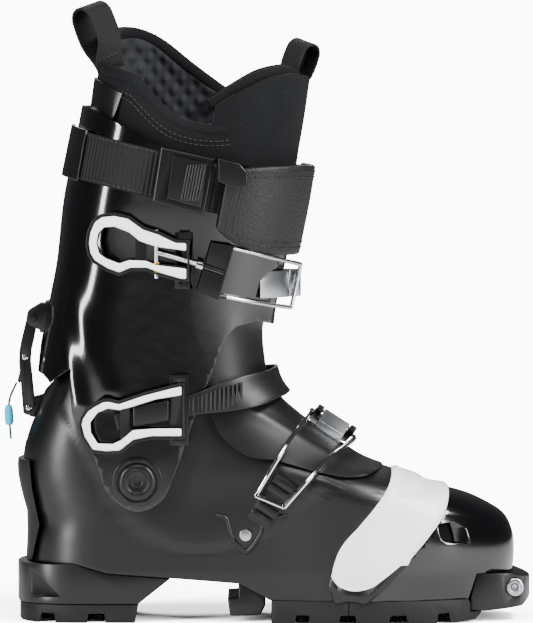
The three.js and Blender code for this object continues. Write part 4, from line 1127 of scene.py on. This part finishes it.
def make_loop(name, x, z, width, height, spread, lean_degrees, twist_degrees):
    """A webbing pull loop: two legs joined over a round top, with a stitched turn at its foot."""
    lean = math.radians(lean_degrees)
    half = spread / 2
    leg = height - half

    def belly(h):
        """Half the distance between the legs at a height."""
        return half * (0.55 + 0.6 * math.sin(math.pi * min(h / leg, 1) * 0.62))

    def put(u, v, h):
        """The place of a point u across the tape, v between the legs and h up."""
        turn = math.radians(twist_degrees) * smoothstep(h, 0, height * 0.5)
        u, v = u * math.cos(turn) - v * math.sin(turn), u * math.sin(turn) + v * math.cos(turn)
        return (x + u * math.cos(lean) + h * math.sin(lean), v, z - u * math.sin(lean) + h * math.cos(lean))

    straight = [i * leg / LOOP_LEG_STEPS for i in range(LOOP_LEG_STEPS)]
    turns = [math.pi * i / LOOP_ARCH_STEPS for i in range(LOOP_ARCH_STEPS + 1)]
    arch = [(belly(h), h) for h in straight]
    arch += [(belly(leg) * math.cos(a), leg + half * math.sin(a)) for a in turns]
    arch += [(-belly(h), h) for h in straight[::-1]]
    rows = [[put(width * (k / 8 - 0.5), v, h) for v, h in arch] for k in range(9)]
    show(band(name + "_webbing", rows, 1.5, LOOP_WEB, 0.0, 0.35), "cuff", "webbing", name)
    foot_line = []
    for side in (-1, 1):
        for h in (3.0, 8.0):
            v = side * (belly(h) + 1.0)
            foot_line.append([put(-width / 2 + 1.5, v, h), put(width / 2 - 1.5, v, h)])
    stitches(name + "_stitches", foot_line, "cuff", 2.6, 1.8, 0.3)


# ---------- power strap ----------
STRAP_TILT = -0.235
STRAP_STEPS = 150


def strap_line(x):
    """The height of the power strap's middle."""
    return 280 + STRAP_TILT * (x + 113)


def signed_place(turn, z, offset):
    """A point round the leg at a share of the way to the front; the outer side has shares below zero."""
    place = LEG.around(abs(turn), z, offset)
    return (place.x, abs(place.y) * (-1 if turn < 0 else 1), z)


def round_leg(start, end, half, offset, across=8):
    """Rows of the power strap's line right round the back of the leg, from share start to share end."""
    rows = []
    for j in range(across + 1):
        share = 2 * j / across - 1
        row = []
        for i in range(STRAP_STEPS + 1):
            turn = start + (end - start) * i / STRAP_STEPS
            x = LEG.around(abs(turn), 268, offset).x
            row.append(signed_place(turn, strap_line(x) + share * half, offset))
        rows.append(row)
    return rows


def make_power_strap():
    """The webbing round the cuff, its two rows of stitches and the keeper at the back."""
    web = band("power_strap_webbing", round_leg(-0.66, 0.9, 14, GAP), STRAP_THICK, WEB, -1.0, 0.5)
    show(web, "cuff", "webbing", "power_strap")
    edges = round_leg(-0.6, 0.88, 12.6, GAP + STRAP_THICK + 0.15, 1)
    stitches("power_strap_stitches", edges, "cuff")
    rows = round_leg(-0.2, 0.05, 15.2, GAP * 2 + STRAP_THICK)
    keeper = band("strap_keeper_loop", rows, 1.8, SATIN, -1.0, 0.7)
    show(keeper, "cuff", "shell_black", "strap_keeper")


PAD_LOW = eased(((-37, 242), (-24, 231.5), (-10, 225), (8, 221.5), (34, 221)))
PAD_HIGH = eased(((-37, 262), (-33, 271), (-22, 274), (8, 275), (34, 272)))


def pad_row(share, start, end, offset, steps):
    """One row of the pad between its lower edge (share 0) and its upper edge (share 1)."""
    row = []
    for i in range(steps + 1):
        turn = start + (end - start) * i / steps
        x = LEG.around(abs(turn), 250, offset).x
        row.append(signed_place(turn, PAD_LOW(x) + (PAD_HIGH(x) - PAD_LOW(x)) * share, offset))
    return row


def pad_rows(offset, low_share, high_share, across):
    """Rows of the pad across the front, from the outer side to the inner."""
    rows = []
    for j in range(across + 1):
        share = low_share + (high_share - low_share) * j / across
        outer = pad_row(share, -0.615, -0.9999, offset, 60)
        rows.append(outer + pad_row(share, 0.9999, 0.86, offset, 22))
    return rows


def make_pad():
    """The power strap's front pad, with two rounds of stitches inside its edge."""
    inner = GAP * 2 + STRAP_THICK
    pad = band("power_strap_cushion", pad_rows(inner, 0.0, 1.0, 14), 4.2, LEATHER, 1.0, 1.4)
    show(pad, "cuff", "pad_leather", "power_strap_pad")
    lines = []
    for low_share, high_share, ends in ((0.07, 0.93, 3), (0.13, 0.87, 6)):
        lower, upper = pad_rows(inner + 4.45, low_share, high_share, 1)
        lower, upper = lower[ends:-ends], upper[ends:-ends]
        lines.append(lower + upper[::-1] + lower[:1])
    stitches("pad_stitches", lines, "cuff")


# ---------- ankle strap ----------
LADDER_STEPS = 90
LADDER_TEETH = 17


def ladder_line(x):
    """The height of the ankle strap's middle."""
    return 124 + 0.21 * (x + 87)


def ladder_half(x):
    """Half of the strap's height: narrow in the ratchet, wide over the instep."""
    return 5.2 + 4.0 * smoothstep(x, -60, -12) - 1.0 * smoothstep(x, -12, 4)


def make_ankle_strap():
    """The strap over the instep, and the teeth that its ratchet grips."""
    rows = []
    for j in range(9):
        share = 2 * j / 8 - 1
        row = []
        for i in range(LADDER_STEPS + 1):
            turn = 0.36 + 0.64 * i / LADDER_STEPS
            x = LADDER.around(turn, 135, 0).x
            row.append(tuple(LADDER.around(turn, ladder_line(x) + share * ladder_half(x), 0.1)))
        row += [(x, -y, z) for x, y, z in row[-2:38:-1]]
        rows.append(row)
    strap = band("ankle_strap", rows, 2.6, STRAP, 1.0, 0.6)
    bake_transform(strap)
    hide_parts("ankle_ladder_strap")
    teeth = []
    for i in range(LADDER_TEETH):
        x = -61 + i * 2.6
        y = LADDER.side_y(x, ladder_line(x), 2.9)
        half = ladder_half(x) - 1.6
        teeth.append([(x, y, ladder_line(x) - half), (x + 0.2, y, ladder_line(x) + half)])
    show(tube("ankle_strap_teeth", teeth, 0.75, STRAP, 3), "cuff", "strap_plastic")


# ---------- hardware ----------
BAIL_PLATE = (-48, -23.2)  # where the cuff bail's black plate starts and ends
BEND_CUTS, BEND_STEP = 14, 4  # the pieces that bend with the toe are cut across, 4 mm apart
HARD_PARTS = (
    "cuff_buckle_base",
    "ankle_buckle_base",
    "ankle_ratchet",
    "instep_lever",
    "instep_rack",
    "strap_cam_frame",
    "strap_cam",
    "strap_hook",
    "walk_link",
    "walk_lug",
    "walk_latch",
    "walk_bracket",
    "pivot_bolt_lateral",
    "pivot_bolt_medial",
)
STEEL_PARTS = (
    "tech_insert_lateral",
    "tech_insert_medial",
    "ankle_strap_anchor",
    "instep_rivet",
    "instep_lever_pin",
)


def make_hardware():
    """Every rigid small part, as a clean copy with rounded edges."""
    for name in ("heel_block", "second_heel", "toe_block"):
        refine(name, SATIN, "shell_black", 0.9, 3)
    for name in ("heel_outsole", "forefoot_outsole", "toe_outsole", "heel_rand"):
        refine(name, RUBBER, "sole_rubber", 0.5, 2)
    make_levers()
    for name in HARD_PARTS:
        refine(name, HARD, "hardware_black", 0.4, 3)
    for name in ("cuff_catch", "instep_buckle_base"):
        refine(name, STEEL, "steel", 0.35, 3)
    bail = refine("cuff_bail", STEEL, "steel", 0.35, 3)
    bail.data.materials.append(HARD)
    for face in bail.data.polygons:
        if BAIL_PLATE[0] < face.center.x / MM < BAIL_PLATE[1]:
            face.material_index = 1
    for name in STEEL_PARTS:
        refine(name, STEEL, "steel", 0.25, 3)
    for name in ("strap_cam_pin", "walk_link_pin", "walk_latch_pin"):
        refine(name, STEEL, "steel", 0.2, 2)
    refine("instep_bail", CHROME, "chrome", 0, 2, 60)
    refine("rear_spoiler", SATIN, "shell_black", 0.5, 3)
    dress("walk_bead", CYAN)
    dress("boot_board", FOAM)
    make_inside("liner_foot", FACE)
    make_inside("footbed", FOAM)
    dress("pivot_bush_lateral", FOAM)
    dress("pivot_bush_medial", FOAM)


def make_inside(name, material):
    """The foot of the liner and its bed: they bend with the toe, so they are cut into short lengths first."""
    bm = bmesh.new()
    bm.from_mesh(nodes[name].data)
    bmesh.ops.remove_doubles(bm, verts=bm.verts, dist=0.01 * MM)
    for i in range(BEND_CUTS):
        everything = bm.verts[:] + bm.edges[:] + bm.faces[:]
        at = Vector(((36 + BEND_STEP * i) * MM, 0, 0))
        bmesh.ops.bisect_plane(bm, geom=everything, plane_co=at, plane_no=(1, 0, 0))
    piece = new_piece("made_" + name, bm, material)
    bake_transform(piece)
    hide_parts(name)


def inset(points, distance):
    """The closed outline moved inwards by a distance."""
    area = sum(ax * bz - bx * az for (ax, az), (bx, bz) in zip(points, points[1:] + points[:1]))
    way = 1 if area > 0 else -1
    moved = []
    for i, (x, z) in enumerate(points):
        before, after = Vector(points[i - 1]), Vector(points[(i + 1) % len(points)])
        one, two = (Vector((x, z)) - before).normalized(), (after - Vector((x, z))).normalized()
        square = Vector((-one.y, one.x)) * way
        inward = (square + Vector((-two.y, two.x)) * way).normalized()
        reach = distance / max(inward.dot(square), 0.5)
        moved.append((x + inward.x * reach, z + inward.y * reach))
    return moved


CUFF_FRAME = [(-50.2, 231), (-58, 231.2), (-68, 236), (-77, 239), (-86, 245.5), (-95, 247.3)]
CUFF_FRAME += [(-103, 246.5), (-108, 243), (-111, 236), (-112, 229), (-111, 222.5), (-108, 217.5)]
CUFF_FRAME += [(-100, 212.5), (-92, 209.5), (-85, 212.5), (-76, 212.5), (-68, 209.5), (-56, 206)]
CUFF_FRAME += [(-50.2, 205.6)]
CUFF_HOLE = [(-45, 223.5), (-70, 227), (-76, 229), (-80, 230.5), (-86, 235.5), (-95, 239)]
CUFF_HOLE += [(-101, 238.6), (-104.5, 235), (-105.6, 229), (-104, 223), (-100, 220), (-92, 217)]
CUFF_HOLE += [(-86, 219), (-76, 218.5), (-70, 216), (-45, 213)]
ANKLE_FRAME = [(-53, 146), (-60.6, 144.5), (-78, 140), (-92.4, 135), (-98, 136.4), (-102, 136.2)]
ANKLE_FRAME += [(-108, 133), (-112.2, 130), (-115.5, 125), (-116.5, 120.6), (-114.6, 113), (-109, 104)]
ANKLE_FRAME += [(-100, 103), (-91.2, 103.4), (-82.8, 110), (-72.6, 112), (-53, 112)]
ANKLE_HOLE = [(-48, 139.5), (-70, 136), (-86, 131), (-92, 129.5), (-99, 130.5), (-105, 128)]
ANKLE_HOLE += [(-109.5, 122), (-109, 116), (-105, 109.5), (-96, 109.2), (-91, 111.5), (-84, 117.5)]
ANKLE_HOLE += [(-70, 118.5), (-48, 118.5)]


CUFF_LEVER_SEAT = -(leg_half(222) + 4)
ANKLE_LEVER_SEAT = -(CUFF_HALF + 6.5)


def make_levers():
    """Each lever is a black plate with a white enamelled bow let into its face."""
    for name, frame_line, hole, seat in (
        ("cuff_lever", CUFF_FRAME, CUFF_HOLE, CUFF_LEVER_SEAT),
        ("ankle_lever", ANKLE_FRAME, ANKLE_HOLE, ANKLE_LEVER_SEAT),
    ):
        refine(name, HARD, "hardware_black", 0.6, 3)
        bow = prism(inset(frame_line, 2.0), seat - 5.4, seat - 2.6)
        cut(bow, prism(hole))
        smooth(bow, 30, 0.9, 4)
        show(named(bow, name + "_bow", WHITE), name, "white_lever")
        rail = prism(frame_line, seat - 4.9, seat - 3.4)
        cut(rail, prism(inset(frame_line, 1.1)))
        smooth(rail, 30, 0.3, 2)
        show(named(rail, name + "_rim", HARD), name, "hardware_black")


def dress(name, material):
    """Gives a solid that keeps its own mesh its finish."""
    node = nodes[name]
    for slot in node.material_slots:
        slot.material = material
    for face in node.data.polygons:
        face.use_smooth = False


def coil(centre, axis, across, turns, radius, length, steps=14):
    """The line of a coil about an axis, centred on a point."""
    axis = Vector(axis).normalized()
    one = axis.cross(Vector(across)).normalized()
    two = axis.cross(one)
    points = []
    for i in range(int(turns * steps) + 1):
        turn = 2 * math.pi * i / steps
        along = (i / (turns * steps) - 0.5) * length
        spoke = one * math.cos(turn) + two * math.sin(turn)
        points.append(tuple(Vector(centre) + axis * along + spoke * radius))
    return points


CAM_RIDGES = 7


def make_details():
    """The springs, the threaded rod, the surround of the instep rack and the cam's ridges."""
    pin_x, pin_y = -70, CUFF_LEVER_SEAT - 2
    pin = tube("cuff_lever_cross_pin", [[(pin_x, pin_y, 208), (pin_x, pin_y, 237)]], 1.2, STEEL, 4)
    show(pin, "cuff_lever", "steel")
    springs = [coil((pin_x, pin_y, z), (0, 0, 1), (1, 0, 0), 5, 2.2, 6.5) for z in (231.5, 214.5)]
    show(tube("cuff_lever_springs", springs, 0.42, BRASS, 3), "cuff_lever", "steel")
    rod_start, rod_end = Vector((pin_x, pin_y, 223.5)), Vector((-42, pin_y, 215.5))
    run = rod_end - rod_start
    core = tube("cuff_rod_core", [[tuple(rod_start), tuple(rod_end)]], 1.5, CHROME, 5)
    show(core, "cuff_bail", "chrome", "cuff_rod")
    thread = coil(tuple(rod_start + run * 0.55), tuple(run), (0, 0, 1), 17, 1.62, run.length * 0.72, 12)
    show(tube("cuff_rod_thread", [thread], 0.34, CHROME, 3), "cuff_bail", "chrome")
    barrel = [[tuple(rod_start + run * 0.86), tuple(rod_end)]]
    show(tube("cuff_rod_barrel", barrel, 3.0, CHROME, 6), "cuff_bail", "chrome")
    spring = coil((-149.6, 0, 162.9), (0, 1, 0), (1, 0, 0), 5, 1.6, 6.4)
    show(tube("walk_spring_coil", [spring], 0.4, STEEL, 3), "walk_link", "chrome", "walk_spring")
    cradle = curved(
        ((-35, 65.4), (-28.5, 63), (-25.5, 53.4), (-17, 43.4), (-8.4, 53.4), (-5.4, 62), (8, 66)), 40
    )
    rim = [(x, FOOT.side_y(x, z, 0.4), z) for x, z in cradle]
    show(tube("rack_surround", [rim], 1.5, SATIN, 4), "shell", "shell_black")
    cam_seat = -(leg_half(288) + 2 * GAP + STRAP_THICK)
    ridges = []
    for i in range(CAM_RIDGES):
        x = -52 + i * 1.7
        ridges.append([(x - 3.0, cam_seat - 7.3, 254.5), (x + 1.2, cam_seat - 7.3, 276)])
    show(tube("strap_cam_ridges", ridges, 0.55, HARD, 3), "strap_cam", "hardware_black")


PULL_CORD = ((-155.4, 142.4), (-157, 139), (-159.4, 133.5), (-160.4, 126), (-159.8, 118), (-159, 108))


def make_cord():
    """The pull cord of the walk latch: it hangs from the lever's tip through its bead, with a bare end."""
    line = [placed((x, 0, z)) for x, z in curved(PULL_CORD, 17)]
    curve = bpy.data.curves.new("pull_cord", "CURVE")
    curve.dimensions, curve.use_fill_caps = "3D", True
    curve.bevel_depth, curve.bevel_resolution = CORD_R * MM, 3
    way = curve.splines.new("POLY")
    way.points.add(len(line) - 1)
    for point, place in zip(way.points, line):
        point.co = (*place, 1)
    cord = link_piece("pull_cord", curve, CORD)
    show(cord, "walk_latch", "cord", "walk_cord")


make_camera()
make_cord()
make_light()
make_floor()
make_shells()
make_bellows()
make_tongue()
make_cuff()
make_liner()
make_liner_tongue()
make_loop("rear_pull_loop", -98, 331.5, 17, 41, 17, -20, 38)
make_loop("front_pull_loop", 9, 318, 14, 32, 14, 20, -38)
make_power_strap()
make_pad()
make_ankle_strap()
make_hardware()
make_details()
